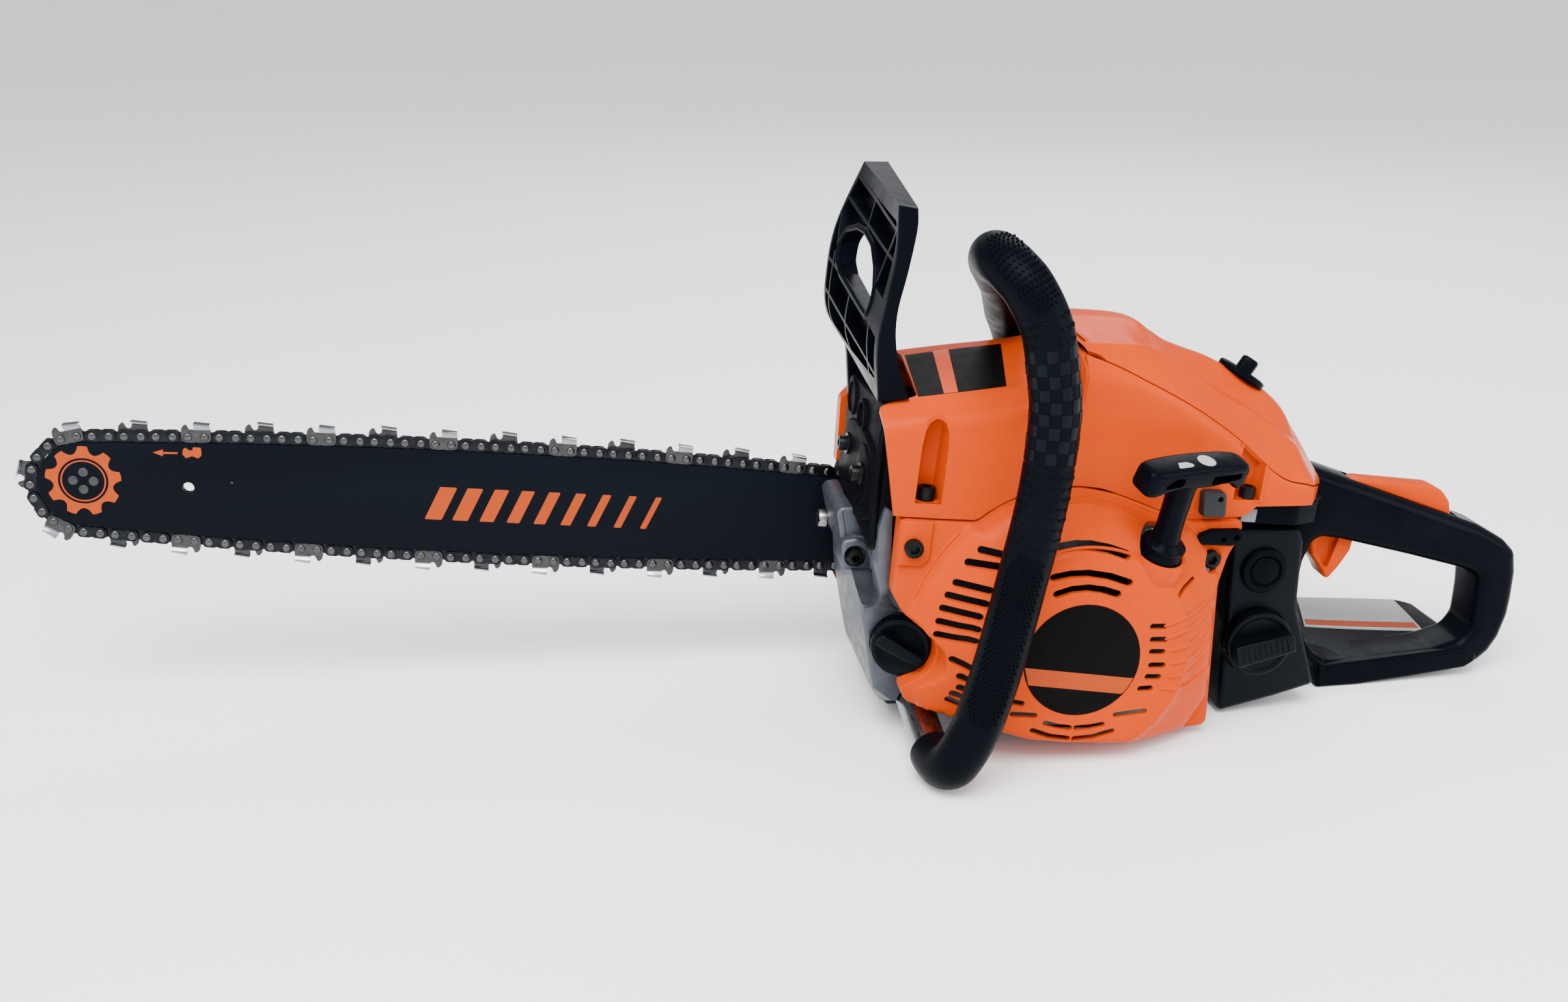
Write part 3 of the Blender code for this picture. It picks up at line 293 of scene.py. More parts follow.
def capsule(pts, w, seg=6):
    """Outline round a centre line in (x, z)."""
    p = np.asarray(pts, float)
    t = np.gradient(p, axis=0)
    t = t / np.linalg.norm(t, axis=1)[:, None]
    n = np.column_stack([-t[:, 1], t[:, 0]])
    left = list(p + n * w)
    right = list((p - n * w)[::-1])
    def cap(c, d):
        a0 = math.atan2(d[1], d[0])
        return [c + w * A(math.cos(a0 - math.pi * k / seg), math.sin(a0 - math.pi * k / seg)) for k in range(1, seg)]
    return np.array(left + cap(p[-1], n[-1]) + right + cap(p[0], -n[0]))


def curve(xs, ys):
    """Smooth function through points, without overshoot."""
    xs, ys = np.asarray(xs, float), np.asarray(ys, float)
    h, d = np.diff(xs), np.diff(ys) / np.diff(xs)
    m = np.zeros(len(xs))
    m[0], m[-1] = d[0], d[-1]
    for i in range(1, len(xs) - 1):
        if d[i - 1] * d[i] > 0:
            a, b = 2 * h[i] + h[i - 1], h[i] + 2 * h[i - 1]
            m[i] = (a + b) / (a / d[i - 1] + b / d[i])

    def f(x):
        x = np.clip(np.asarray(x, float), xs[0], xs[-1])
        k = np.clip(np.searchsorted(xs, x, side="right") - 1, 0, len(h) - 1)
        t = (x - xs[k]) / h[k]
        return ((1 + 2 * t) * (1 - t) ** 2 * ys[k] + t * (1 - t) ** 2 * h[k] * m[k]
                + t * t * (3 - 2 * t) * ys[k + 1] + t * t * (t - 1) * h[k] * m[k + 1])
    return f


def to_mesh(vf, outward=True, tags=None):
    v, f = vf
    me = bpy.data.meshes.new("m")
    me.from_pydata([tuple(p) for p in np.asarray(v, float)], [], f)
    if tags is not None:
        me.polygons.foreach_set("material_index", np.asarray(tags, np.int32))
    bm = bmesh.new()
    bm.from_mesh(me)
    bmesh.ops.remove_doubles(bm, verts=bm.verts, dist=1e-4)
    if outward:
        bmesh.ops.recalc_face_normals(bm, faces=bm.faces)
    bm.to_mesh(me)
    bm.free()
    return me


def modified(me, *mods):
    """The mesh with modifiers applied; each is (type, {settings})."""
    ob = bpy.data.objects.new("tmp", me)
    bpy.context.scene.collection.objects.link(ob)
    extra = []
    for kind, opts in mods:
        m = ob.modifiers.new(kind.lower(), kind)
        for k, val in opts.items():
            if k == "with":
                o2 = bpy.data.objects.new("tmp2", val)
                bpy.context.scene.collection.objects.link(o2)
                extra.append(o2)
                m.object = o2
            else:
                setattr(m, k, val)
    dg = bpy.context.evaluated_depsgraph_get()
    dg.update()
    out = bpy.data.meshes.new_from_object(ob.evaluated_get(dg))
    for o in [ob] + extra:
        bpy.data.objects.remove(o, do_unlink=True)
    return out


def cut(me, *vfs):
    for vf in vfs:
        b = vf if isinstance(vf, bpy.types.Mesh) else to_mesh(vf)
        me = modified(me, ("BOOLEAN", {"operation": "DIFFERENCE", "solver": "EXACT", "with": b}))
    return me


def thicken(me, t):
    return modified(me, ("SOLIDIFY", {"thickness": t, "offset": -1.0, "use_even_offset": True, "use_quality_normals": True}))


def bevelled(me, w, seg=2, angle=32.0):
    return modified(me, ("BEVEL", {"width": w, "segments": seg, "limit_method": "ANGLE", "angle_limit": math.radians(angle), "use_clamp_overlap": True}))


def merged(*mes):
    bm = bmesh.new()
    for me in mes:
        bm.from_mesh(me)
    out = bpy.data.meshes.new("m")
    bm.to_mesh(out)
    bm.free()
    return out


def show(name, me, mats, body="saw_body", stands=(), sharp=36.0):
    """A finished piece: moved to the ground frame, smooth shaded, riding on its body."""
    if not isinstance(me, bpy.types.Mesh):
        me = to_mesh(me)
    me.transform(TO_WORLD)
    me.name = name
    me.materials.clear()
    for m in (mats if isinstance(mats, (list, tuple)) else [mats]):
        me.materials.append(m)
    me.shade_smooth()
    me.set_sharp_from_angle(angle=math.radians(sharp))
    ob = bpy.data.objects.new(name, me)
    bpy.context.scene.collection.objects.link(ob)
    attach(ob, body)
    if stands:
        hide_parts(*stands)
    return ob


# ------------------------------------------------------------------ materials
def noise(nt, scale, detail=3.0, rough=0.55, stretch=None, dim="3D"):
    tc = nt.nodes.new("ShaderNodeTexCoord")
    n = nt.nodes.new("ShaderNodeTexNoise")
    n.inputs["Scale"].default_value = scale
    n.inputs["Detail"].default_value = detail
    n.inputs["Roughness"].default_value = rough
    if stretch:
        mp = nt.nodes.new("ShaderNodeMapping")
        mp.inputs["Scale"].default_value = stretch
        mp.inputs["Rotation"].default_value = (0.0, -TILT, 0.0)
        nt.links.new(tc.outputs["Object"], mp.inputs["Vector"])
        nt.links.new(mp.outputs["Vector"], n.inputs["Vector"])
    else:
        nt.links.new(tc.outputs["Object"], n.inputs["Vector"])
    return n.outputs["Fac"]


def ranged(nt, fac, lo, hi, a=0.3, b=0.7):
    m = nt.nodes.new("ShaderNodeMapRange")
    for key, val in (("From Min", a), ("From Max", b), ("To Min", lo), ("To Max", hi)):
        m.inputs[key].default_value = val
    nt.links.new(fac, m.inputs["Value"])
    return m.outputs["Result"]


def mixed(nt, fac, ca, cb):
    m = nt.nodes.new("ShaderNodeMix")
    m.data_type = "RGBA"
    nt.links.new(fac, m.inputs["Factor"])
    for key, c in (("A", ca), ("B", cb)):
        sock = [s for s in m.inputs if s.name == key and s.type == "RGBA"][0]
        if isinstance(c, (tuple, list)):
            sock.default_value = (*c, 1.0)
        else:
            nt.links.new(c, sock)
    return [s for s in m.outputs if s.type == "RGBA"][0]


BRIGHT = 2.8      # how much brighter than the surfaces' own colours the studio is lit, so that the floor comes out pale


def finish(name, colour, rough, metal=0.0, vary=0.06, vscale=30.0, rvary=0.05, rscale=120.0, bump=0.15, bscale=1800.0,
           bdist=0.00006, coat=0.0, spec=0.5, other=None, oscale=60.0, ofrom=(0.55, 0.75), stretch=None, coat_rough=0.08, bdetail=2.0,
           painted_sky_tint=None, dim=BRIGHT):
    colour = tuple(c / dim for c in colour)
    other = None if other is None else tuple(c / dim for c in other)
    m = bpy.data.materials.new(name)
    m.use_nodes = True
    nt = m.node_tree
    b = nt.nodes["Principled BSDF"]
    base = mixed(nt, ranged(nt, noise(nt, vscale, stretch=stretch), 0.0, 1.0),
                 tuple(c * (1 - vary) for c in colour), tuple(min(1.0, c * (1 + vary)) for c in colour))
    if other is not None:
        base = mixed(nt, ranged(nt, noise(nt, oscale, 4.0, stretch=stretch), 0.0, 1.0, *ofrom), base, other)
    nt.links.new(base, b.inputs["Base Color"])
    nt.links.new(ranged(nt, noise(nt, rscale, 3.0, stretch=stretch), max(0.02, rough - rvary), rough + rvary), b.inputs["Roughness"])
    if bump > 0:
        bp = nt.nodes.new("ShaderNodeBump")
        bp.inputs["Strength"].default_value = bump
        bp.inputs["Distance"].default_value = bdist
        nt.links.new(noise(nt, bscale, bdetail, stretch=stretch), bp.inputs["Height"])
        nt.links.new(bp.outputs["Normal"], b.inputs["Normal"])
    b.inputs["Metallic"].default_value = metal
    b.inputs["Specular IOR Level"].default_value = spec / dim
    # Specular Tint here is a painted reflection: it colours the highlights bluish, as if a blue sky were reflected, not
    # a colour of the surface
    if painted_sky_tint is not None:
        b.inputs["Specular Tint"].default_value = (*painted_sky_tint, 1.0)
    if coat:
        b.inputs["Coat Weight"].default_value = coat
        b.inputs["Coat Roughness"].default_value = coat_rough
    return m


ORANGE = finish("orange_moulded", (1.15, 0.100, 0.0), 0.25, vary=0.05, rvary=0.05, bump=0.10, bscale=900, bdist=0.00005, spec=0.09)
ORANGE_PAINT = finish("orange_print", (0.80, 0.105, 0.012), 0.45, vary=0.05, vscale=400, bump=0.1, spec=0.25)
# The bluish specular tint passed to black_moulded, black_tank, grip_rubber and grip_gloss is a painted reflection of
# bluish sky light
BLACK = finish("black_moulded", (0.0040, 0.0050, 0.0085), 0.27, vary=0.25, rvary=0.06, bump=0.16, bscale=2200, bdist=0.00005, spec=0.07, painted_sky_tint=(0.66, 0.82, 1.0))
TANK = finish("black_tank", (0.0036, 0.0045, 0.0068), 0.40, vary=0.25, rvary=0.06, bump=0.35, bscale=3200, bdist=0.00006, spec=0.22, painted_sky_tint=(0.66, 0.82, 1.0))
RUBBER = finish("grip_rubber", (0.0042, 0.0052, 0.0085), 0.40, vary=0.3, rvary=0.08, bump=0.45, bscale=2600, bdist=0.00008, spec=0.08, painted_sky_tint=(0.66, 0.82, 1.0))
GRIP_GLOSS = finish("grip_gloss", (0.0042, 0.0052, 0.0085), 0.28, vary=0.3, rvary=0.06, bump=0.25, bscale=2600, bdist=0.00006, spec=0.22, painted_sky_tint=(0.66, 0.82, 1.0))
CAST = finish("cast_aluminium", (0.19, 0.21, 0.25), 0.46, metal=0.75, vary=0.12, vscale=45, rvary=0.10, bump=0.55, bscale=1500, bdist=0.00012,
              other=(0.12, 0.135, 0.165), oscale=38, ofrom=(0.52, 0.80))
TUBE = finish("bright_tube", (0.62, 0.63, 0.66), 0.24, metal=1.0, vary=0.10, vscale=60, rvary=0.07, bump=0.12, bscale=900, bdist=0.00003, stretch=(8.0, 1.0, 8.0))
CHROME = finish("hard_chrome", (0.72, 0.75, 0.80), 0.16, metal=1.0, vary=0.08, vscale=300, rvary=0.06, bump=0.1, bscale=1500, bdist=0.00003)
CUTTER = finish("cutter_steel", (0.125, 0.127, 0.13), 0.40, metal=0.9, vary=0.2, vscale=250, rvary=0.08, bump=0.3, bscale=2500, bdist=0.00004)
LINK = finish("blued_link", (0.030, 0.032, 0.040), 0.34, metal=0.85, vary=0.35, vscale=300, rvary=0.1, bump=0.25, bscale=2500, bdist=0.00004)
RIVET = finish("rivet_steel", (0.17, 0.17, 0.175), 0.27, metal=1.0, vary=0.25, vscale=500, rvary=0.1, bump=0.25, bscale=3000, bdist=0.00004)
BAR = finish("bar_paint", (0.0050, 0.0076, 0.0140), 0.44, vary=0.22, vscale=18, rvary=0.06, bump=0.25, bscale=1400, bdist=0.00004, spec=0.10, stretch=(0.18, 1.0, 1.0))
BARE_STEEL = finish("bar_edge_steel", (0.40, 0.40, 0.42), 0.35, metal=1.0, vary=0.2, vscale=200, bump=0.2, stretch=(0.2, 1, 1))
SCREW = finish("black_oxide", (0.016, 0.016, 0.018), 0.36, metal=0.6, vary=0.3, vscale=300, bump=0.2)
ZINC = finish("zinc_plate", (0.60, 0.60, 0.60), 0.30, metal=1.0, vary=0.12, vscale=300, bump=0.2)
# heat_paint also gets the bluish specular tint, a painted reflection of bluish sky light
HEAT = finish("heat_paint", (0.0085, 0.0092, 0.0115), 0.40, vary=0.3, rvary=0.08, bump=0.35, bscale=1800, bdist=0.00008, spec=0.02, painted_sky_tint=(0.66, 0.82, 1.0))
GREY = finish("grey_moulded", (0.032, 0.035, 0.043), 0.45, vary=0.10, bump=0.25, bscale=2200)
SWITCH = finish("grey_switch", (0.42, 0.43, 0.46), 0.42, vary=0.06, bump=0.2, bscale=2200)
WHITE = finish("white_sticker", (0.78, 0.78, 0.80), 0.38, vary=0.04, vscale=150, bump=0.1)
STICKER = finish("black_sticker", (0.0070, 0.0062, 0.0060), 0.42, vary=0.15, vscale=120, bump=0.08, bscale=1200, spec=0.06)
STEEL = finish("ground_steel", (0.50, 0.50, 0.52), 0.30, metal=1.0, vary=0.12, vscale=120, bump=0.2, bscale=1600)
BRASS = finish("machined_brass", (0.55, 0.38, 0.14), 0.32, metal=1.0, vary=0.1, bump=0.2)
FELT = finish("filter_felt", (0.72, 0.70, 0.62), 0.9, vary=0.12, vscale=500, bump=0.8, bscale=1500, bdist=0.0002)
CERAMIC = finish("glazed_ceramic", (0.80, 0.80, 0.77), 0.22, vary=0.03, bump=0.05)
ROPE = finish("braided_rope", (0.62, 0.60, 0.54), 0.8, vary=0.25, vscale=900, bump=0.8, bscale=1300, bdist=0.0003)

PLAIN = {"orange_plastic": ORANGE, "black_plastic": BLACK, "muffler_steel": HEAT, "black_rubber": RUBBER, "cast_aluminium": CAST, "bright_steel": STEEL,
         "dark_steel": SCREW, "bar_steel": BAR, "grey_plastic": GREY, "brass": BRASS, "filter_felt": FELT, "ceramic": CERAMIC, "rope": ROPE}
for sub in frame["record"]["subparts"]:
    node = NODES[sub["node"]]
    node.data.materials.clear()
    node.data.materials.append(PLAIN[sub["material_slot"]])
    node.data.shade_smooth()
    node.data.set_sharp_from_angle(angle=math.radians(35))


# ------------------------------------------------------------------ camera, light, floor
def cam_axes(az, el, roll):
    a, e, r = math.radians(az), math.radians(el), math.radians(roll)
    back = A(math.sin(a) * math.cos(e), -math.cos(a) * math.cos(e), math.sin(e))
    right = A(math.cos(a), math.sin(a), 0)
    up = np.cross(back, right)
    return np.array([right * math.cos(r) + up * math.sin(r), -right * math.sin(r) + up * math.cos(r), back])


RC = cam_axes(-10.54, 18.31, 6.11)
centre = RC.T @ A(158.77, 1.18, 961.38)
cam = bpy.data.objects.new("camera", bpy.data.cameras.new("camera"))
bpy.context.scene.collection.objects.link(cam)
cam.data.sensor_fit, cam.data.sensor_width, cam.data.lens = "HORIZONTAL", 36.0, 2600.0 / 2408.0 * 36.0
cam.data.clip_start, cam.data.clip_end = 0.02, 200.0
turn = Matrix(((CT, 0, ST), (0, 1, 0), (-ST, 0, CT)))
cam.matrix_world = Matrix.Translation(world(centre)) @ (turn @ Matrix(RC.T.tolist())).to_4x4()
bpy.context.scene.camera = cam


def softbox(name, loc, target, size, watts, colour=(1, 1, 1), size_y=None):
    d = bpy.data.lights.new(name, "AREA")
    d.energy, d.size, d.color = watts, size, colour
    if size_y:
        d.shape, d.size_y = "RECTANGLE", size_y
    ob = bpy.data.objects.new(name, d)
    bpy.context.scene.collection.objects.link(ob)
    ob.location = loc
    ob.rotation_euler = (Vector(target) - Vector(loc)).to_track_quat("-Z", "Y").to_euler()
    return ob


softbox("key", (-0.35, -1.05, 1.75), (0.05, 0.0, 0.12), 1.5, 36.0 * BRIGHT, (1.0, 0.985, 0.96), 1.1)
softbox("side", (-1.7, -0.9, 0.9), (0.0, 0.0, 0.15), 1.1, 3.6 * BRIGHT, (0.93, 0.96, 1.0))
softbox("back", (0.8, 1.5, 1.5), (0.1, 0.0, 0.15), 1.3, 8.5 * BRIGHT, (0.97, 0.98, 1.0))
softbox("right", (1.6, -0.9, 0.8), (0.2, 0.0, 0.12), 0.9, 6.0 * BRIGHT)
sky = bpy.data.worlds.new("studio")
bpy.context.scene.world = sky
sky.use_nodes = True
sky.node_tree.nodes["Background"].inputs["Color"].default_value = (0.95, 0.97, 1.0, 1.0)
way = sky.node_tree.nodes.new("ShaderNodeTexCoord")
parts_of = sky.node_tree.nodes.new("ShaderNodeSeparateXYZ")
fall = sky.node_tree.nodes.new("ShaderNodeMapRange")
fall.inputs["From Min"].default_value, fall.inputs["From Max"].default_value = -0.30, 0.75
fall.inputs["To Min"].default_value, fall.inputs["To Max"].default_value = 0.62 * BRIGHT, 0.16 * BRIGHT
sky.node_tree.links.new(way.outputs["Generated"], parts_of.inputs[0])
sky.node_tree.links.new(parts_of.outputs["Y"], fall.inputs["Value"])
sky.node_tree.links.new(fall.outputs["Result"], sky.node_tree.nodes["Background"].inputs["Strength"])
floor_me = bpy.data.meshes.new("floor")
floor_me.from_pydata([(-40, -40, 0), (40, -40, 0), (40, 40, 0), (-40, 40, 0)], [], [(0, 1, 2, 3)])
floor = bpy.data.objects.new("floor", floor_me)
bpy.context.scene.collection.objects.link(floor)
pale = finish("pale_floor", (0.90, 0.90, 0.90), 0.75, vary=0.01, vscale=2.0, bump=0.0, spec=0.1, dim=1.0)
floor_me.materials.append(pale)


# ------------------------------------------------------------------ guide bar
NOSE = -226.0


def rail(x):
    return 30.0 - 4.86 * ((np.asarray(x, float) + 2.0) / 200.0) ** 2


NOSE_R = float(rail(NOSE))
xs = np.linspace(263.5, NOSE, 110)
arc = np.radians(np.linspace(90, 270, 42)[1:-1])
outline = np.vstack([np.column_stack([xs, rail(xs)]), np.column_stack([NOSE + NOSE_R * np.cos(arc), NOSE_R * np.sin(arc)]),
                     np.column_stack([xs[::-1], -rail(xs[::-1])])])
deep = np.where(outline[:, 0] < NOSE + 2, 17.0, 6.0)
bar = to_mesh(loft([at_y(inset(outline, d), y) for y, d in ((-2.1, 0.45), (-1.95, 0.12), (-1.7, 0.0), (-0.75, 0.0), (-0.75, deep), (0.75, deep), (0.75, 0.0),
                                                          (1.7, 0.0), (1.95, 0.12), (2.1, 0.45))]))
bar = cut(bar, plate(capsule([(211, 0), (230, 0), (251, 0)], 4.6), -6, 6, 0), rod((-171.4, -6, 1.0), (-171.4, 6, 1.0), 3.1, 32),
          rod((-148.7, -6, 4.4), (-148.7, 6, 4.4), 0.9, 16))
show("bar_plate", bar, BAR, stands=("guide_bar",), sharp=30)


def ring_flat(outer, inner, y0, y1):
    return loft([at_y(outer, y0), at_y(outer, y1), at_y(inner, y1), at_y(inner, y0)], loop=True)


def circle(cx, cz, r, n):
    t = np.linspace(0, 2 * math.pi, n, endpoint=False)
    return np.column_stack([cx + r * np.cos(t), cz + r * np.sin(t)])


GC = (-226.0, 2.2)
teeth, roots = [], []
for k in range(9):
    a = 2 * math.pi * (k + 0.26) / 9
    for da, r in ((-0.134, 19.2), (-0.126, 19.7), (0.0, 19.8), (0.126, 19.7), (0.134, 19.2), (0.165, 17.9), (0.215, 16.6), (0.285, 15.8), (0.349, 15.6), (0.413, 15.8), (0.483, 16.6), (0.533, 17.9)):
        teeth.append((GC[0] + r * math.cos(a + da), GC[1] + r * math.sin(a + da)))
        roots.append((GC[0] + 13.0 * math.cos(a + da), GC[1] + 13.0 * math.sin(a + da)))
FACE = -2.1
prints = [ring_flat(teeth, roots, FACE + 0.02, FACE - 0.06), ring_flat(circle(*GC, 11.8, 64), circle(*GC, 11.0, 64), FACE + 0.02, FACE - 0.06)]
prints.append(plate([(-189.8, 20.4), (-184.5, 22.4), (-184.4, 21.0), (-176.8, 21.2), (-176.8, 20.2), (-184.4, 19.9), (-184.5, 18.5)], FACE + 0.02, FACE - 0.06, 0))
link_mark = fillet([(-174.4, 20.2), (-174.0, 23.0), (-172.6, 24.3), (-171.6, 23.0), (-170.2, 22.6), (-168.9, 22.9), (-169.0, 24.6), (-164.7, 24.4), (-164.3, 20.2),
                    (-166.0, 18.2), (-169.3, 19.4), (-172.5, 18.0)], 0.7, 3)
prints.append(plate(link_mark, FACE + 0.02, FACE - 0.06, 0))
for k in range(9):                                   # plain slanted bars
    x0 = -44.0 + 15.2 * k
    w = 9.5 - 0.75 * k
    prints.append(plate(fillet([(x0, -11.0), (x0 + w, -11.0), (x0 + w + 8.0, 8.5), (x0 + 8.0, 8.5)], 0.6, 3), FACE + 0.02, FACE - 0.06, 0))
show("bar_print", to_mesh(join(*prints)), ORANGE_PAINT, sharp=30)
bar_rivets = []
for dx, dz in ((-5.3, 0), (5.3, 0), (0, 4.9), (0, -4.9)):
    for s in (-1, 1):
        bar_rivets.append(rev((GC[0] + dx, s * 2.05, GC[1] + dz), (0, s, 0), [(2.5, 0), (2.5, 0.18), (2.3, 0.32), (0.02, 0.36)], 24))
show("bar_nose_rivets", to_mesh(join(*bar_rivets)), CUTTER)

# ------------------------------------------------------------------ saw chain
RIV = 3.5                                            # rivet line above the rail
line = [(x, float(rail(x)) + RIV) for x in np.arange(262, NOSE, -1.5)]
RN = NOSE_R + RIV
line += [(NOSE + RN * math.cos(t), RN * math.sin(t)) for t in np.radians(np.arange(90, 270.1, 2.5))]
line += [(x, -float(rail(x)) - RIV) for x in np.arange(NOSE + 1.5, 262.1, 1.5)]
line += [(302 + 22.3 * math.cos(t), -10 + 22.3 * math.sin(t)) for t in np.radians(np.arange(-86, 86.1, 4))]
line = np.array(line)
closed_line = np.vstack([line, line[:1]])
run = np.concatenate([[0], np.cumsum(np.linalg.norm(np.diff(closed_line, axis=0), axis=1))])
TOTAL = run[-1]


def on_chain(s):
    s = np.asarray(s, float) % TOTAL
    return np.column_stack([np.interp(s, run, closed_line[:, 0]), np.interp(s, run, closed_line[:, 1])])


nose_k = np.argmin(np.abs(line[:, 0] + 233.0) + np.where(line[:, 1] > 0, 0, 999))
S0 = run[nose_k]
PITCH = 16.51
first, last = -27, 31
spots = [S0 + PITCH * i for i in range(first, last + 1)]
left_over = 72 - len(spots)
gap = (spots[0] + TOTAL - spots[-1]) / (left_over + 1)
spots += [spots[-1] + gap * (i + 1) for i in range(left_over)]
kinds = [(first + i) % 4 for i in range(72)]         # 0 near cutter, 2 far cutter, else plain straps


def link_axes(s, half):
    a, b = on_chain([s - half])[0], on_chain([s + half])[0]
    t = unit(b - a)
    n = A(t[1], -t[0])
    c = (a + b) / 2
    return A(c[0], 0, c[1]), A(t[0], 0, t[1]), A(n[0], 0, n[1])


def side_plate(poly, y0, y1, r=0.22):
    return plate(poly, y0, y1, r, 2, back=r)


strap_poly = fillet([(-7.6, -3.1), (-1.2, -3.1), (0, -2.75), (1.2, -3.1), (7.6, -3.1), (7.7, 3.3), (1.6, 3.3), (0, 2.7), (-1.6, 3.3), (-7.7, 3.3)],
                    [2.6, 2, 1, 2, 2.6, 2.2, 1.2, 1, 1.2, 2.2], 3)
drive_poly = fillet([(-6.9, -2.6), (-3.0, -4.2), (-1.2, -8.2), (1.8, -8.6), (3.4, -4.0), (6.9, -2.6), (7.0, 2.8), (2.2, 3.3), (0, 2.2), (-2.2, 3.3), (-7.0, 2.8)],
                    [2, 1, 0.8, 0.8, 1, 2, 2.2, 1, 1, 1, 2.2], 3)
cutter_poly = fillet([(-7.7, -3.0), (-1.2, -3.2), (0, -2.9), (1.2, -3.2), (7.4, -3.0), (7.9, 2.8), (7.5, 5.2), (6.1, 6.9), (4.7, 6.7), (4.2, 5.3), (3.3, 3.9), (1.9, 3.7), (0.9, 4.6),
                      (0.2, 6.5), (-7.3, 5.9), (-7.9, 2.0)], [2.4, 2, 1, 2, 2.4, 1.2, 1, 0.5, 0.5, 0.8, 1, 1, 1, 0.2, 0.6, 1.5], 3)
rivet = rev((0, 0, 0), (0, 1, 0), [(2.35, 0), (2.35, 0.25), (2.0, 0.75), (1.2, 1.05), (0.02, 1.12)], 12)


def tooth(side):
    """Chromed top plate with its curved side wall, from the trailing to the leading end."""
    rings = []
    for t, lift, wide in ((-7.4, -0.75, -0.25), (-7.2, -0.7, -0.1), (-3.0, -0.3, 0.05), (0.75, 0.1, 0.2), (1.0, 0.05, 0.15)):
        inner = [(1.55, 4.2), (1.95, 5.2), (2.45, 6.3 + lift), (2.75 + wide, 7.0 + lift), (2.2, 7.35 + lift), (0.6, 7.35 + lift), (-0.9, 7.3 + lift)]
        outer = [(-0.9, 8.05 + lift), (0.6, 8.15 + lift), (2.4, 8.2 + lift), (3.35 + wide, 7.9 + lift), (3.55 + wide, 7.2 + lift), (3.1, 5.9), (2.35, 4.9), (2.02, 4.2)]
        rings.append([(t, side * y, n) for y, n in inner + outer])
    return loft(rings)


groups = {"strap": [], "cutter": [], "chrome": [], "rivet": []}
for s, kind in zip(spots, kinds):
    o, t, n = link_axes(s, 4.35)
    ey = A(0, 1, 0)
    for side in (-1, 1):
        here = (kind == 0 and side < 0) or (kind == 2 and side > 0)
        shape = side_plate(cutter_poly if here else strap_poly, side * 0.75, side * 1.98)
        groups["cutter" if here else "strap"].append(put(shape, o, t, ey, n))
        if here:
            groups["chrome"].append(put(tooth(side), o, t, ey, n))
        for dt in (-4.35, 4.35):
            p = on_chain([s + dt])[0]
            groups["rivet"].append(put((rivet[0] * A(1, side, 1), rivet[1]), A(p[0], side * 1.95, p[1]), A(1, 0, 0), ey, A(0, 0, 1)))
order = np.argsort([s % TOTAL for s in spots])
ss = np.array([s % TOTAL for s in spots])[order]
for a, b in zip(ss, np.append(ss[1:], ss[0] + TOTAL)):
    o, t, n = link_axes((a + b) / 2, (b - a) / 2 - 4.35)
    groups["strap"].append(put(side_plate(drive_poly, -0.68, 0.68), o, t, A(0, 1, 0), n))
chain_ob = show("chain_straps", join(*groups["strap"]), LINK, stands=("saw_chain",), sharp=40)
show("chain_cutters", join(*groups["cutter"]), CUTTER, sharp=40)
show("chain_teeth", join(*groups["chrome"]), CHROME, sharp=30)
show("chain_rivets", join(*groups["rivet"]), RIVET, sharp=50)

# ------------------------------------------------------------------ engine covers
SEAM = curve([280, 288, 302.4, 321.7, 351.5, 381.5, 394, 405, 414, 424.4, 436, 445, 451, 460], [136.2, 134.2, 130.2, 122.7, 109.4, 91.9, 82.6, 75.0, 71.4, 69.6, 65.8, 61.8, 59.6, 58.9])
LOW = curve([180, 217, 238, 246, 254, 262, 278, 292, 303, 314, 327, 340, 356, 372, 388, 391, 394, 430, 460], [45.2, 44.9, 45.0, 50.6, 56.0, 60.0, 64.4, 66.3, 65.6, 62.8, 58.6, 54.3, 50.0, 51.0, 52.6, 54.5, 57.9, 58.2, 58.6])


def table(rows):
    rows = np.array(rows, float)
    return [curve(rows[:, 0], rows[:, k]) for k in range(1, rows.shape[1])]


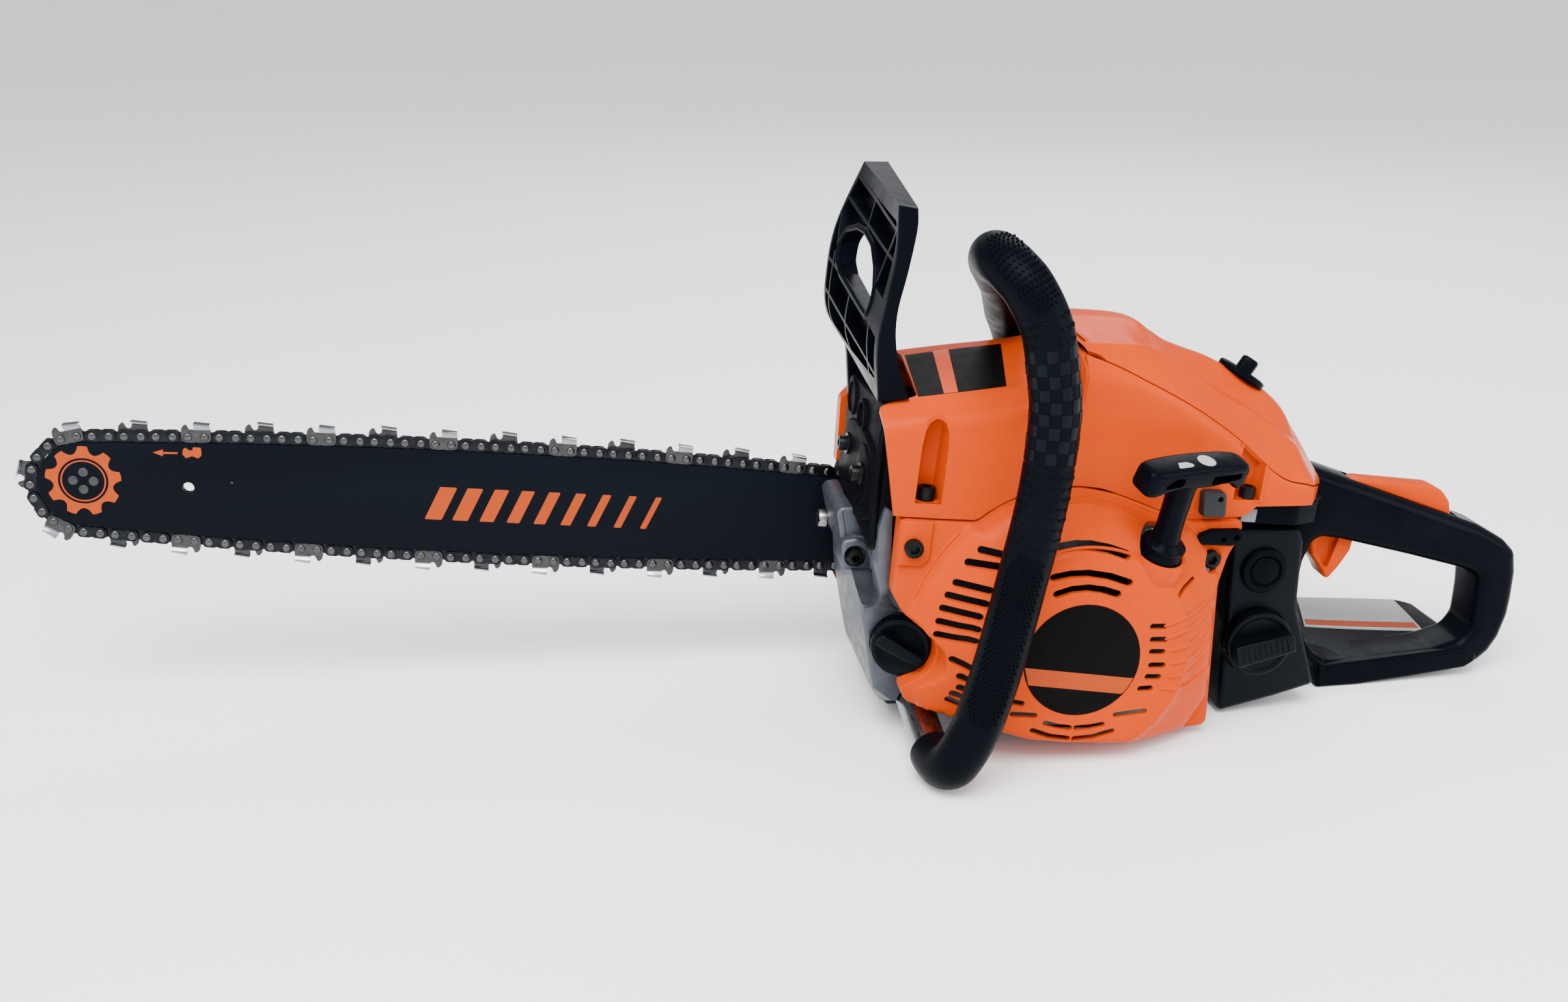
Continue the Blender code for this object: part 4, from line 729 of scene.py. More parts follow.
HOOD = table([  # X: left wall, wall top, crease Y, crease Z, crown Z, right-of-crown Z, right crease Y, Z, right wall
    (183, -120.8, 90.5, -109.5, 100.6, 110.5, 109.0, -20, 99, -6.0),
    (205, -121.8, 94.5, -110.0, 104.6, 115.3, 113.6, -20, 103, -6.0),
    (230, -122.0, 99.0, -110.0, 109.0, 120.3, 118.4, -20, 107, -6.0),
    (258, -122.0, 104.5, -110.0, 114.6, 125.2, 123.2, -20, 111, -6.0),
    (289, -121.8, 111.0, -109.0, 121.6, 132.5, 130.0, -20, 116, -6.0)])
FILT = table([
    (280, -122.0, 127.0, -106.0, 138.5, 143.4, 142.6, -17, 135.5, -6.0),
    (300, -121.5, 126.0, -105.0, 138.8, 144.0, 143.2, -18, 135.8, -6.0),
    (318, -121.0, 121.5, -102.0, 138.4, 144.6, 143.6, -21, 134.5, -6.0),
    (328, -120.6, 117.5, -99.0, 136.8, 144.2, 143.0, -23, 132.0, -6.0),
    (340, -120.0, 113.0, -95.5, 132.0, 138.2, 137.0, -25, 126, -6.0),
    (351, -119.4, 107.5, -93.0, 126.0, 132.6, 131.4, -26, 120, -6.0),
    (363, -118.6, 101.0, -92.0, 118.8, 129.0, 127.6, -27, 112.5, -6.0),
    (375, -117.8, 93.5, -91.5, 112.0, 126.0, 124.4, -28, 105.5, -6.0),
    (388, -116.4, 85.0, -91.0, 105.8, 121.2, 119.6, -29, 98.5, -6.5),
    (400, -114.8, 77.0, -90.5, 99.4, 116.2, 114.6, -30, 92, -7.5),
    (413, -112.6, 71.0, -90.0, 92.0, 109.4, 107.6, -31, 85.5, -9.5),
    (425, -110.2, 69.5, -88.5, 84.5, 100.2, 98.4, -33, 79, -12.0),
    (429.5, -108.6, 68.6, -86.6, 79.6, 93.8, 92.0, -34.5, 75.5, -14.5),
    (431.6, -105.2, 68.2, -85.6, 77.8, 91.2, 89.6, -35.4, 74, -16.0),
    (436.8, -97.0, 67.0, -81.0, 74.0, 84.4, 83.0, -38, 71.5, -20.0),
    (442.0, -88.0, 65.6, -76.0, 70.8, 77.2, 76.0, -42, 68.6, -25.0),
    (446.6, -80.0, 64.0, -71.0, 67.6, 70.8, 70.0, -46, 66, -33.0),
    (450.0, -74.0, 62.5, -67.0, 65.2, 66.4, 66.0, -51, 64.5, -42.0)])


def section(tab, x):
    yl, zw, yc, zc, zt, zt2, ycr, zcr, yr = [float(f(x)) for f in tab]
    dip = 3.0 * max(0.0, min(1.0, (x - 318) / 22.0, (438 - x) / 14.0)) if tab is FILT else 0.0
    wide_l = min(8.0, 0.4 * (-62 - yc))
    ledge = (yc + wide_l, zc + (zt - zc) * wide_l / (-62 - yc) - dip)
    pts = [(yl, 20), (yl, zw), (yc, zc), ledge, (-62, zt), (-42, zt2), (ycr, zcr), (yr, zw - 3), (yr, 20)]
    return fillet(pts, [0, 11, 1.4, 9, 24, 26, 6, 11, 0], 7, closed=False)


def clip_rise(poly, z0, z1, n, side):
    """Part of one wall of a section between two heights, resampled to n points."""
    p = poly if side < 0 else poly[::-1]
    top = int(np.argmax(p[:, 1] > z1)) if (p[:, 1] > z1).any() else len(p) - 1
    q = p[:top + 1]
    z = np.linspace(z0, z1, n)
    return np.column_stack([np.interp(z, q[:, 1], q[:, 0]), z])


def resample(p, n):
    d = np.concatenate([[0], np.cumsum(np.linalg.norm(np.diff(p, axis=0), axis=1))])
    s = np.linspace(0, d[-1], n)
    return np.column_stack([np.interp(s, d, p[:, 0]), np.interp(s, d, p[:, 1])])


def trim(poly, zl, zr):
    """Section over the top from height zl on the left wall to zr on the right wall."""
    k0 = int(np.argmax(poly[:, 1] > zl))
    a, b = poly[k0 - 1], poly[k0]
    left = a + (b - a) * ((zl - a[1]) / (b[1] - a[1]))
    k1 = len(poly) - 1 - int(np.argmax(poly[::-1, 1] > zr))
    a, b = poly[k1], poly[k1 + 1]
    right = a + (b - a) * ((zr - a[1]) / (b[1] - a[1]))
    return np.vstack([left, poly[k0:k1 + 1], right])


def sheet(rings):
    return loft(rings, closed=False)


def facing(me, point):
    """Turns an open sheet so that its faces look away from a point inside it."""
    bm = bmesh.new()
    bm.from_mesh(me)
    bmesh.ops.recalc_face_normals(bm, faces=bm.faces)
    s = sum(f.normal.dot(f.calc_center_median() - Vector(point)) * f.calc_area() for f in bm.faces)
    if s < 0:
        bmesh.ops.reverse_faces(bm, faces=bm.faces)
    bm.to_mesh(me)
    bm.free()
    return me


def front_edge(y, z):
    """Where the top cover starts: a leaning edge on the starter side, clear of the guard on the roof."""
    lean = 194.7 - 0.223 * (np.minimum(z, 100.0) - 48.0)
    w = np.clip((y + 112.0) / 8.5, 0, 1)
    w = w * w * (3 - 2 * w)
    return lean * (1 - w) + 204.0 * w


roof = []
NU = 40
for u in np.linspace(0, 1, NU):
    ring = []
    base = trim(section(HOOD, 183 + (289.0 - 183) * u), 45.0, 66.4)
    base = resample(base, 120)
    x_guess = np.full(len(base), 183 + (289.0 - 183) * u)
    for it in range(2):
        x0 = front_edge(base[:, 0], base[:, 1])
        x_guess = x0 + (287.6 - x0) * u
    secs = {}
    pts = []
    for i in range(len(base)):
        x = x_guess[i]
        key = round(float(x), 1)
        if key not in secs:
            secs[key] = resample(trim(section(HOOD, x), 45.0, 66.4), 120)
        y, z = secs[key][i]
        if i < 36:                                   # lower edge follows the seam with the starter cover
            low = float(LOW(x))
            z = low + (z - 45.0) * (1 - (low - 45.0) / (secs[key][36][1] - 45.0)) if i < 36 else z
        pts.append((x, y, z))
    roof.append(pts)
top_a = facing(to_mesh(sheet(roof), outward=False), (240, -60, 70))
left_b, right_b = [], []
for x in np.concatenate([np.linspace(287.6, 427.4, 60), [429.3, 430.1, 431.8], np.linspace(433.6, 443.4, 8)]):
    sec = section(FILT, x)
    lo_z, hi_z = float(LOW(x)), float(SEAM(x)) - 0.35
    left_b.append([(x, y, z) for y, z in clip_rise(sec, lo_z, hi_z, 26, -1)])
    right_b.append([(x, y, z) for y, z in clip_rise(sec, 58.4, min(hi_z, 128), 14, 1)])
top_l = facing(to_mesh(sheet(left_b), outward=False), (370, -60, 60))
top_r = facing(to_mesh(sheet(right_b), outward=False), (370, -60, 60))
top_me = thicken(merged(top_a), 2.4)
wall_l, wall_r = thicken(top_l, 2.2), thicken(top_r, 2.2)


def scoop(x0, x1, z0, z1, y_face, depth, r_top):
    """Upright screw recess: flat floor, round head, dished back."""
    xc, hw = (x0 + x1) / 2, (x1 - x0) / 2
    rings = []
    for k, (z, d, w) in enumerate(((z0, depth, 1.0), (z0 + 0.6, depth, 1.0), (z0 + (z1 - z0) * 0.45, depth * 0.95, 1.0), (z0 + (z1 - z0) * 0.70, depth * 0.8, 0.98),
                                   (z0 + (z1 - z0) * 0.86, depth * 0.62, 0.86), (z0 + (z1 - z0) * 0.95, depth * 0.40, 0.62), (z1, depth * 0.14, 0.22))):
        a = np.linspace(0, math.pi, 13)
        arc_pts = [(xc - hw * w * math.cos(t), y_face + d * min(1.0, math.sin(t) * 1.35) ** 0.8, z) for t in a]
        arc_pts = [(xc - hw * w * 1.0, y_face - 6, z)] + arc_pts + [(xc + hw * w * 1.0, y_face - 6, z)]
        rings.append(arc_pts)
    return loft(rings)


def grown(vf, d):
    """A closed shape swollen by d along its normals, for a wall behind a recess."""
    me = to_mesh(vf)
    me.update()
    bm = bmesh.new()
    bm.from_mesh(me)
    bm.normal_update()
    for v in bm.verts:
        v.co += v.normal * d
    bm.to_mesh(me)
    bm.free()
    return me


SCOOP_F = scoop(205.6, 219.6, 52.5, 97.5, -122.0, 14.0, 6)
SCOOP_R = scoop(379.5, 395.0, 61.6, 96.0, -117.2, 11.0, 6)
pocket_f = cut(grown(SCOOP_F, 1.6), SCOOP_F, plate([(190, 40), (235, 40), (235, 110), (190, 110)], -140, -121.2, 0))
top_me = cut(top_me, SCOOP_F)
pocket_r = cut(grown(SCOOP_R, 1.6), SCOOP_R, plate([(360, 40), (410, 40), (410, 120), (360, 120)], -140, -116.2, 0))
wall_l = cut(wall_l, SCOOP_R)
above_seam = [(x, float(SEAM(x)) - 0.4) for x in np.linspace(360, 415, 30)] + [(415, 140), (360, 140)]
pocket_r = cut(pocket_r, plate(above_seam, -140, -90, 0))
step_sec = section(FILT, 289.0)
step_top = float(SEAM(287.6)) - 0.4
step_sec = np.array([(y, min(z, step_top)) for y, z in trim(step_sec, 90.0, 90.0)])
keep = [0] + [k for k in range(1, len(step_sec)) if np.linalg.norm(step_sec[k] - step_sec[k - 1]) > 0.05]
step_sec = step_sec[keep]
step_face = to_mesh(loft([np.column_stack([np.full(len(step_sec), x), inset(step_sec, d)]) for x, d in ((286.4, 1.9), (286.9, 1.0), (287.8, 0.5), (291.0, 0.5))]))
show("top_cover_shell", merged(top_me, wall_l, wall_r, pocket_f, pocket_r, step_face), ORANGE, stands=("top_cover",), sharp=32)

hump = []
for u in np.concatenate([[0, 0.006, 0.02, 0.04], np.linspace(0.06, 1, 72)]):
    base = resample(trim(section(FILT, 284 + (450.0 - 284) * u), float(SEAM(284 + (450.0 - 284) * u)) + 0.35, float(SEAM(284 + (450.0 - 284) * u)) + 0.35), 100)
    pts = []
    for i, (y, z) in enumerate(base):
        x0 = 289.0 - 7.0 * np.clip((z - 135.0) / 9.0, 0, 1) ** 1.5
        x = x0 + (450.0 - x0) * u
        sec = resample(trim(section(FILT, x), float(SEAM(x)) + 0.35, float(SEAM(x)) + 0.35), 100) if u > 0.04 else None
        if sec is not None:
            y, z = sec[i]
        else:
            k = 1.0 - u / 0.04
            y, z = y + (-60 - y) * 0.02 * k * k, z - 1.6 * k * k * max(0.0, min(1.0, (z - 134) / 6))
        pts.append((x, y, z))
    hump.append(pts)
front_ring = np.array(hump[0])
mid = front_ring.mean(0)
inner = [tuple(p * 0.93 + A(291.5, mid[1], mid[2]) * 0.07 + A(0.0, 0, 0)) for p in front_ring]
inner2 = [tuple(A(291.0 + 0 * p[0], p[1] * 0.5 + mid[1] * 0.5, 135.0 + (p[2] - 135.0) * 0.45)) for p in front_ring]
filt_me = facing(to_mesh(sheet([inner2, inner] + hump), outward=False), (360, -60, 95))
filt_me = thicken(filt_me, 2.4)
KNOB_C, KNOB_A = A(399.2, -57.0, 116.2), unit((0.46, 0, 0.888))
filt_me = cut(filt_me, rod(KNOB_C - KNOB_A * 15, KNOB_C + KNOB_A * 20, 5.0, 24))
show("filter_cover_shell", filt_me, ORANGE, stands=("filter_cover",), sharp=34)

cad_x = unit((0.888, 0, -0.46))
pad_poly = fillet([(339.5, -86.0), (390.0, -83.0), (390.0, -46.0), (352.0, -34.0), (339.5, -34.0)], 4.0, 4)
pad_me = to_mesh(loft([np.column_stack([inset(pad_poly, d), np.full(len(pad_poly), z)]) for z, d in ((88.4, 0.8), (89.2, 0.0), (95.8, 0.0), (96.8, 1.0))]))
pad_me = cut(pad_me, rod((399, -57, 80), (399, -57, 110), 8.0, 24))
pleats = [tube(np.array([(x, -81.0, 96.4), (x, -48.0, 96.4)]), 1.3, 10) for x in np.arange(344.0, 389.0, 4.0)]
show("air_filter_look", merged(pad_me, *[to_mesh(q) for q in pleats]), FELT, stands=("air_filter",))
knob_disc = rev(KNOB_C, KNOB_A, [(3.8, -12), (3.8, -2.2), (13.4, -2.0), (14.2, -1.2), (14.2, 0.9), (13.5, 1.7), (11.6, 2.2), (8.0, 2.5)], 48)
wing = plate(fillet([(-4.6, -13.0), (4.6, -13.0), (5.2, 0), (4.6, 13.0), (-4.6, 13.0), (-5.2, 0)], 3.0, 5), 1.4, 9.8, 1.8, 4)
wing = put(wing, KNOB_C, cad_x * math.cos(0.49) - A(0, 1, 0) * math.sin(0.49), KNOB_A, A(0, 1, 0) * math.cos(0.49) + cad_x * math.sin(0.49))
show("filter_knob_look", to_mesh(join(knob_disc, wing)), BLACK, body="knob", stands=("filter_knob",))


def socket_screw(p, axis, r=4.6, h=5.5, n=28):
    """Cap screw with a hexagon socket and a rounded top edge."""
    a, u, v = basis(axis)
    head = to_mesh(rev(p, axis, [(r, 0), (r, h - 0.5), (r - 0.15, h - 0.2), (r - 0.6, h)], n))
    hexa = [A(p[0], p[1], p[2]) + (u * math.cos(k * math.pi / 3) + v * math.sin(k * math.pi / 3)) * r * 0.58 for k in range(6)]
    return cut(head, loft([[q + a * d for q in hexa] for d in (h * 0.45, h + 2)]))


show("top_cover_screws", merged(socket_screw((213.0, -114.0, 52.6), (0, 0, 1), 4.8, 7.0), socket_screw((389.4, -111.5, 62.0), (0, 0, 1), 4.2, 6.0)), SCREW,
     stands=("top_cover_screw_front", "top_cover_screw_rear"))


# ------------------------------------------------------------------ starter cover
DX, DZ = 298.9, -20.5
RIM = fillet([(199.6, 44.0), (240, 44.0), (250, 53.6), (265, 61.2), (292, 66.0), (314, 62.6), (338, 54.6), (356, 49.6), (386.5, 51.6), (385.6, 42), (381.5, 32),
              (378.8, 15), (387.6, -68.6), (353, -74.0), (322, -77.8), (299, -78.6), (275, -77), (254, -70.5), (236, -61.8), (219, -60.8), (214.4, -58.4), (211.9, -54), (211.2, -50.4), (216.6, -48.0), (221.5, -45.3),
              (225.4, -41.1), (227.7, -36.0), (228.2, -31), (227.1, -25.4), (223.6, -20.8), (207, -8.5), (200.6, 1.5)],
             [2.5, 6, 6, 20, 30, 30, 20, 20, 3, 6, 12, 12, 4, 20, 40, 40, 40, 20, 12, 4, 2, 2, 1.5, 4, 4, 4, 4, 4, 4, 4, 6, 4], 4)


def rim_reach(t):
    c, s = math.cos(t), math.sin(t)
    a = RIM - A(DX, DZ)
    b = np.roll(a, -1, 0)
    d = b - a
    den = c * d[:, 1] - s * d[:, 0]
    den = np.where(np.abs(den) < 1e-9, 1e-9, den)
    r = (a[:, 0] * d[:, 1] - a[:, 1] * d[:, 0]) / den
    k = (a[:, 0] * s - a[:, 1] * c) / den
    ok = (r > 0) & (k > -1e-6) & (k < 1 + 1e-6)
    return float(r[ok].min())


DOME = [(4, -148.0, 40), (20, -148.0, 30), (34, -148.0, 20), (46, -148.0, 16.5), (53, -148.0, 13.0), (56, -147.7, 11.6), (58, -147.0, 10.6), (59.4, -145.9, 9.8), (60.4, -144.6, 9.1),
        (62, -143.0, 8.3), (66, -140.6, 7.6), (71, -137.5, 6.9), (76, -134.3, 6.2), (81, -131.0, 5.5), (84.4, -128.6, 4.9), (86.2, -127.0, 4.4), (87.2, -125.2, 3.9), (87.9, -123.4, 3.5),
        (88.8, -122.2, 3.1), (90.4, -121.6, 2.7)]
NT = 320
TURN = np.linspace(0, 2 * math.pi, NT, endpoint=False)
REACH = np.array([rim_reach(t) for t in TURN])


rise = np.clip((np.degrees(TURN) - 172.0) / 6.0, 0, 1) * np.clip((227.0 - np.degrees(TURN)) / 6.0, 0, 1)
TIGHT = 1.0 - 0.72 * rise * rise * (3 - 2 * rise)


def dome_y(x, z):
    r = math.hypot(x - DX, z - DZ)
    t = math.atan2(z - DZ, x - DX) % (2 * math.pi)
    far = float(np.interp(t, np.append(TURN, 2 * math.pi), np.append(REACH, REACH[0])))
    k = float(np.interp(t, np.append(TURN, 2 * math.pi), np.append(TIGHT, TIGHT[0])))
    return float(np.interp(r, [min(q, far - d * k) for q, _, d in DOME] + [far], [y for _, y, _ in DOME] + [-121.4]))


def hit(x, z, y0, surf):
    """Where the sight line through (x, y0, z) meets a surface."""
    d = A(x, y0, z) - centre
    q = A(x, y0, z)
    for _ in range(14):
        q = centre + d * ((surf(q[0], q[2]) - centre[1]) / d[1])
    return q


def dome_ring(r, y):
    return np.column_stack([DX + r * np.cos(TURN), np.full(NT, y), DZ + r * np.sin(TURN)])


rings = [dome_ring(np.minimum(q, REACH - d * TIGHT), y) for q, y, d in DOME]
rings += [dome_ring(REACH - back * TIGHT, y) for back, y in ((1.7, -121.45), (0.9, -121.25), (0.25, -120.6), (0.0, -119.6), (0.0, -110.2))]
rings += [dome_ring(REACH - 2.2, -110.2), dome_ring(REACH - 2.2, -118.6)]
rings += [dome_ring(np.minimum(q - 1.3, REACH - d * TIGHT - 2.4), y + 2.5) for q, y, d in DOME[::-1]]
dome = to_mesh(loft(rings))
SLOTS = [(-133, 2.15, p) for p in (
    [(241.2, 32.5), (253.5, 30.1)], [(235.3, 25.4), (252.3, 23.5)], [(230.5, 13.9), (249.2, 10.1)], [(227.2, 6.8), (248.1, 2.4)], [(225.3, -0.5), (245.5, -4.9)],
    [(224.3, -8), (245.8, -12.2)], [(224.1, -15.3), (245.3, -18.7)], [(232.2, -26.1), (244.5, -28.9)], [(236.8, -34.6), (244, -36.1)], [(237.7, -41.2), (243.5, -42.5)],
    [(235.1, -45.9), (243.4, -47.2)], [(233.8, -50.1), (241.8, -51.9)])]
SLOTS += [(-146, 1.7, p) for p in ([(335.2, -0.9), (341.2, -0.6)], [(336.4, -8.3), (342.9, -8)], [(337.2, -15.2), (343, -15)], [(338.1, -22.9), (344.4, -22.6)],
                                    [(337.3, -29.6), (343.2, -29.4)], [(334.5, -36.6), (339.8, -36.1)])]
SLOTS += [(-148, 1.55, p) for p in ([(284.6, -57.1), (291.5, -58.7), (298.2, -59.4)], [(301.8, -59.4), (309, -58.6), (315.9, -56.8)], [(278.2, -61.6), (288, -64.6), (298.2, -65.6)],
                                   [(301.8, -65.7), (312, -64.2), (322, -60.6)], [(322.4, -51.2), (338, -48.4)], [(265.8, -52.5), (278, -52.8)], [(264.5, -45.3), (270.1, -46.2)])]
SLOTS += [(-146, 2.1, [(280.3, 15), (288, 18.0), (296.6, 19.2), (305, 18.4), (312.8, 16.4)]), (-146, 2.1, [(277.1, 24.1), (286, 26.4), (295.4, 27.2), (307, 26), (318, 23)]),
          (-146, 2.3, [(278.4, 40.7), (286, 42.4), (294, 42.6), (304, 41), (314.1, 38)]), (-138, 1.2, [(350.3, 14), (352.0, 18.6), (355.6, 23.6)])]
cutters = []
for y0, w, pts in SLOTS:
    pts = np.array(pts, float)
    pts = np.vstack([pts[:1], (pts[:1] + pts[1:2]) / 2, pts[1:]]) if len(pts) == 2 else pts
    if pts[0, 0] < 240 and pts[0, 1] < -24:
        on = pts
    elif np.linalg.norm(pts[-1] - pts[0]) < 9.5:
        mid = pts.mean(0)
        on = pts + hit(mid[0], mid[1], y0, dome_y)[[0, 2]] - mid
    else:
        on = np.array([hit(x, z, y0, dome_y) for x, z in pts])[:, [0, 2]]
    cutters.append(plate(capsule(on, w), -170, -108, 0))
STEM = unit((0.124, -0.289, 0.949))
COLLAR = A(335.0, -137.0, 36.0)
dome = cut(dome, join(*cutters))
dome = cut(dome, rod(COLLAR - STEM * 6, COLLAR + STEM * 60, 13.2, 36), rod((371.2, -135, 29.5), (371.2, -120.8, 29.5), 6.2, 28), rod((207.5, -135, 29), (207.5, -117, 29), 3.4, 20),
           rod((227, -100, -71.3), (227, -140, -76.7), 10.6, 28))
well = cut(to_mesh(rev(COLLAR - STEM * 19, STEM, [(9, 0), (13.0, 3.0), (14.6, 6), (14.9, 18), (14.6, 19.6), (13.6, 20)], 40)), rod(COLLAR - STEM * 5.5, COLLAR + STEM * 30, 12.4, 36),
           plate([(300, 0), (370, 0), (370, 80), (300, 80)], -118.5, -90, 0))
pad = to_mesh(plate(fillet([(200.4, 18.5), (213.0, 18.5), (217.0, 22.5), (217.0, 43.0), (200.6, 43.0)], [0.8, 3, 4, 1.2, 0.8], 4), -119, -123.4, 0.8, 3))
pad = cut(pad, rod((207.5, -135, 29), (207.5, -117, 29), 3.4, 20))
ridges = []
for pts in ([(349.7, -8.1), (363.1, -0.5), (374, 11.7)], [(351.4, -15.6), (364.5, -8), (375.1, 4.2)], [(353.6, -22.6), (366.3, -17.3), (375.9, -5)], [(355.4, -30.0), (368, -25.5), (376.3, -13.5)],
            [(355.6, -37.6), (367.6, -34.5), (377.1, -22)], [(352.5, -44.4), (366.5, -43.0), (377.6, -31)]):
    pts = spline(A(*[(x, -128.0, z) for x, z in pts]), 2.2)
    on = np.array([hit(x, z, -128, dome_y) + A(0, 0.35, 0) for x, _, z in pts])
    ridges.append(tube(on, np.interp(np.linspace(0, 1, len(on)), [0, 0.12, 0.8, 1], [0.5, 1.25, 1.25, 0.5]), 10))
for r, a0, a1, w in ((89.2, 95, 168, 1.2), (61.2, 38, 142, 0.9)):
    pts = []
    for t in np.radians(np.arange(a0, a1 + 0.1, 2.5)):
        x, z = DX + r * math.cos(t), DZ + r * math.sin(t)
        if r > rim_reach(t) - 3.5:
            continue
        pts.append((x, dome_y(x, z) + 0.35, z))
    if len(pts) > 4:
        ridges.append(tube(np.array(pts), np.interp(np.linspace(0, 1, len(pts)), [0, 0.08, 0.92, 1], [0.3, w, w, 0.3]), 10))
show("starter_cover_shell", merged(dome, well, pad, *[to_mesh(r) for r in ridges]), ORANGE, stands=("starter_cover",), sharp=34)
disc = rev((DX, -147.6, DZ), (0, -1, 0), [(31.4, 0), (31.4, 0.52), (31.2, 0.6), (0.02, 0.6)], 96)
show("cover_label", to_mesh(disc), STICKER, sharp=30)
band = []
for x in np.linspace(DX - 30.4, DX + 29.6, 40):
    h = math.sqrt(max(0.0, 30.9 ** 2 - (x - DX) ** 2))
    band.append((x, float(np.clip(-27.7 - 0.065 * (x - DX), DZ - h, DZ + h))))
for x in np.linspace(DX + 28.4, DX - 27.0, 40):
    h = math.sqrt(max(0.0, 30.9 ** 2 - (x - DX) ** 2))
    band.append((x, float(np.clip(-37.2 - 0.065 * (x - DX), DZ - h, DZ + h))))
show("cover_label_band", to_mesh(plate(band, -148.15, -148.26, 0)), ORANGE_PAINT, sharp=30)
show("starter_screws", merged(socket_screw((207.5, -122.8, 29.0), (0, -1, 0), 4.9, 4.6), socket_screw((371.2, -119.6, 29.5), (0, -1, 0), 4.9, 5.0)), SCREW,
     stands=("starter_screw_front", "starter_screw_rear"))

# ------------------------------------------------------------------ front handle
PATH = spline([(227, -58, -65.7), (227, -95, -70.6), (227, -130, -75.8), (228.5, -152, -78.2), (232.0, -165, -73.2), (237, -169, -60), (241.5, -169, -46), (247.5, -168, -14.6),
               (252.7, -167, 26.7), (257.5, -166, 72.6), (257.2, -166, 113.9), (253.1, -165, 136.5), (247, -163.5, 157.8), (237.3, -160, 174), (230.5, -153, 181.3),
               (227.5, -143, 183.9), (228, -128, 183.2), (232.6, -110, 178.3), (240.7, -92, 170.6), (253, -66, 158.5), (264, -38, 145), (273, -13, 133.5), (282.5, 4.5, 117), (291, 9.4, 99),
               (297.5, 10, 80), (300, 10, 62), (300, 10, 48)], 2.5)
show("handle_tube", tube(PATH, 9.6, 32), TUBE, stands=("front_handle",), sharp=50)
on_grip = [k for k, q in enumerate(PATH) if (q[1] < -140.0 or q[2] > 60.0) and not (q[0] > 266.0 and q[1] > -36.0)]
GRIP = PATH[on_grip[0]:on_grip[-1] + 1]
along = np.concatenate([[0], np.cumsum(np.linalg.norm(np.diff(GRIP, axis=0), axis=1))])
LG = along[-1]
GT, GU, GV = frames(GRIP, A(0, 1, 0))
seam_s = along[np.argmin(np.abs(GRIP[:, 2] - 90.0) + np.where(GRIP[:, 1] < -160, 0, 99))]


def grip_r(s):
    r = 12.75 - 0.5 * math.exp(-((s - seam_s) / 0.8) ** 2)
    e = min(s, LG - s)
    return r - (1.6 * (1 - e / 2.5) ** 2 if e < 2.5 else 0.0)


ts = np.unique(np.concatenate([np.arange(0, LG, 2.0), np.linspace(0, 3, 6), LG - np.linspace(0, 3, 6), seam_s + np.linspace(-1.6, 1.6, 9), [LG]]))


def grip_at(s):
    out = [np.array([np.interp(s, along, w[:, c]) for c in range(3)]) for w in (GRIP, GT, GU, GV)]
    return out[0], unit(out[1]), unit(out[2]), unit(out[3])


ring_t = np.linspace(0, 2 * math.pi, 40, endpoint=False)
sleeve = []
for s in ts:
    c, t, u, v = grip_at(s)
    sleeve.append(c + grip_r(s) * (np.outer(np.cos(ring_t), u) + np.outer(np.sin(ring_t), v)))
first_in = sleeve[0] * 0 + [GRIP[0] + 9.3 * (math.cos(a) * GU[0] + math.sin(a) * GV[0]) for a in ring_t]
last_in = sleeve[0] * 0 + [GRIP[-1] + 9.3 * (math.cos(a) * GU[-1] + math.sin(a) * GV[-1]) for a in ring_t]
tail = PATH[on_grip[-1] - 2:len(PATH) - 6]
tail_r = np.interp(tail[:, 1], [-40, -14, 3, 8], [12.6, 12.4, 10.4, 10.2])
show("handle_sleeve", join(loft([first_in] + sleeve + [last_in], caps=(True, True)), tube(tail, tail_r, 40)), RUBBER, stands=("handle_grip",), sharp=50)


def on_sleeve(s, ang, lift, face):
    """Point and outward direction on the sleeve, angle counted from a facing direction."""
    c, t, u, v = grip_at(s)
    f = unit(np.asarray(face, float) - t * (np.asarray(face, float) @ t))
    g = np.cross(t, f)
    n = f * math.cos(ang) + g * math.sin(ang)
    return c + n * (grip_r(s) + lift), n, t


def stud(p, n, t, r=0.78, h=1.15):
    g = np.cross(n, t)
    a = np.linspace(0, 2 * math.pi, 6, endpoint=False)
    out = []
    for k, d in ((1.0, -0.4), (0.92, h * 0.35), (0.55, h * 0.9)):
        out.append([p + (t * math.cos(q) + g * math.sin(q)) * r * k + n * d for q in a])
    return loft(out)


studs = []


def stud_zone(s0, s1, half, face, pitch=2.45):
    rows = int((s1 - s0) / (pitch * 0.87))
    for i in range(rows + 1):
        s = s0 + pitch * 0.87 * i
        trim_e = 1.0 if 2 < i < rows - 2 else (0.86 if i in (1, 2, rows - 2, rows - 1) else 0.66)
        step = pitch / 12.75
        n = int(half * trim_e / step)
        for k in range(-n, n + 1):
            a = (k + (0.5 if i % 2 else 0.0)) * step
            if abs(a) <= half * trim_e:
                studs.append(stud(*on_sleeve(s, a, 0.0, face)))


def s_of(point):
    return float(along[np.argmin(np.linalg.norm(GRIP - np.asarray(point, float), axis=1))])


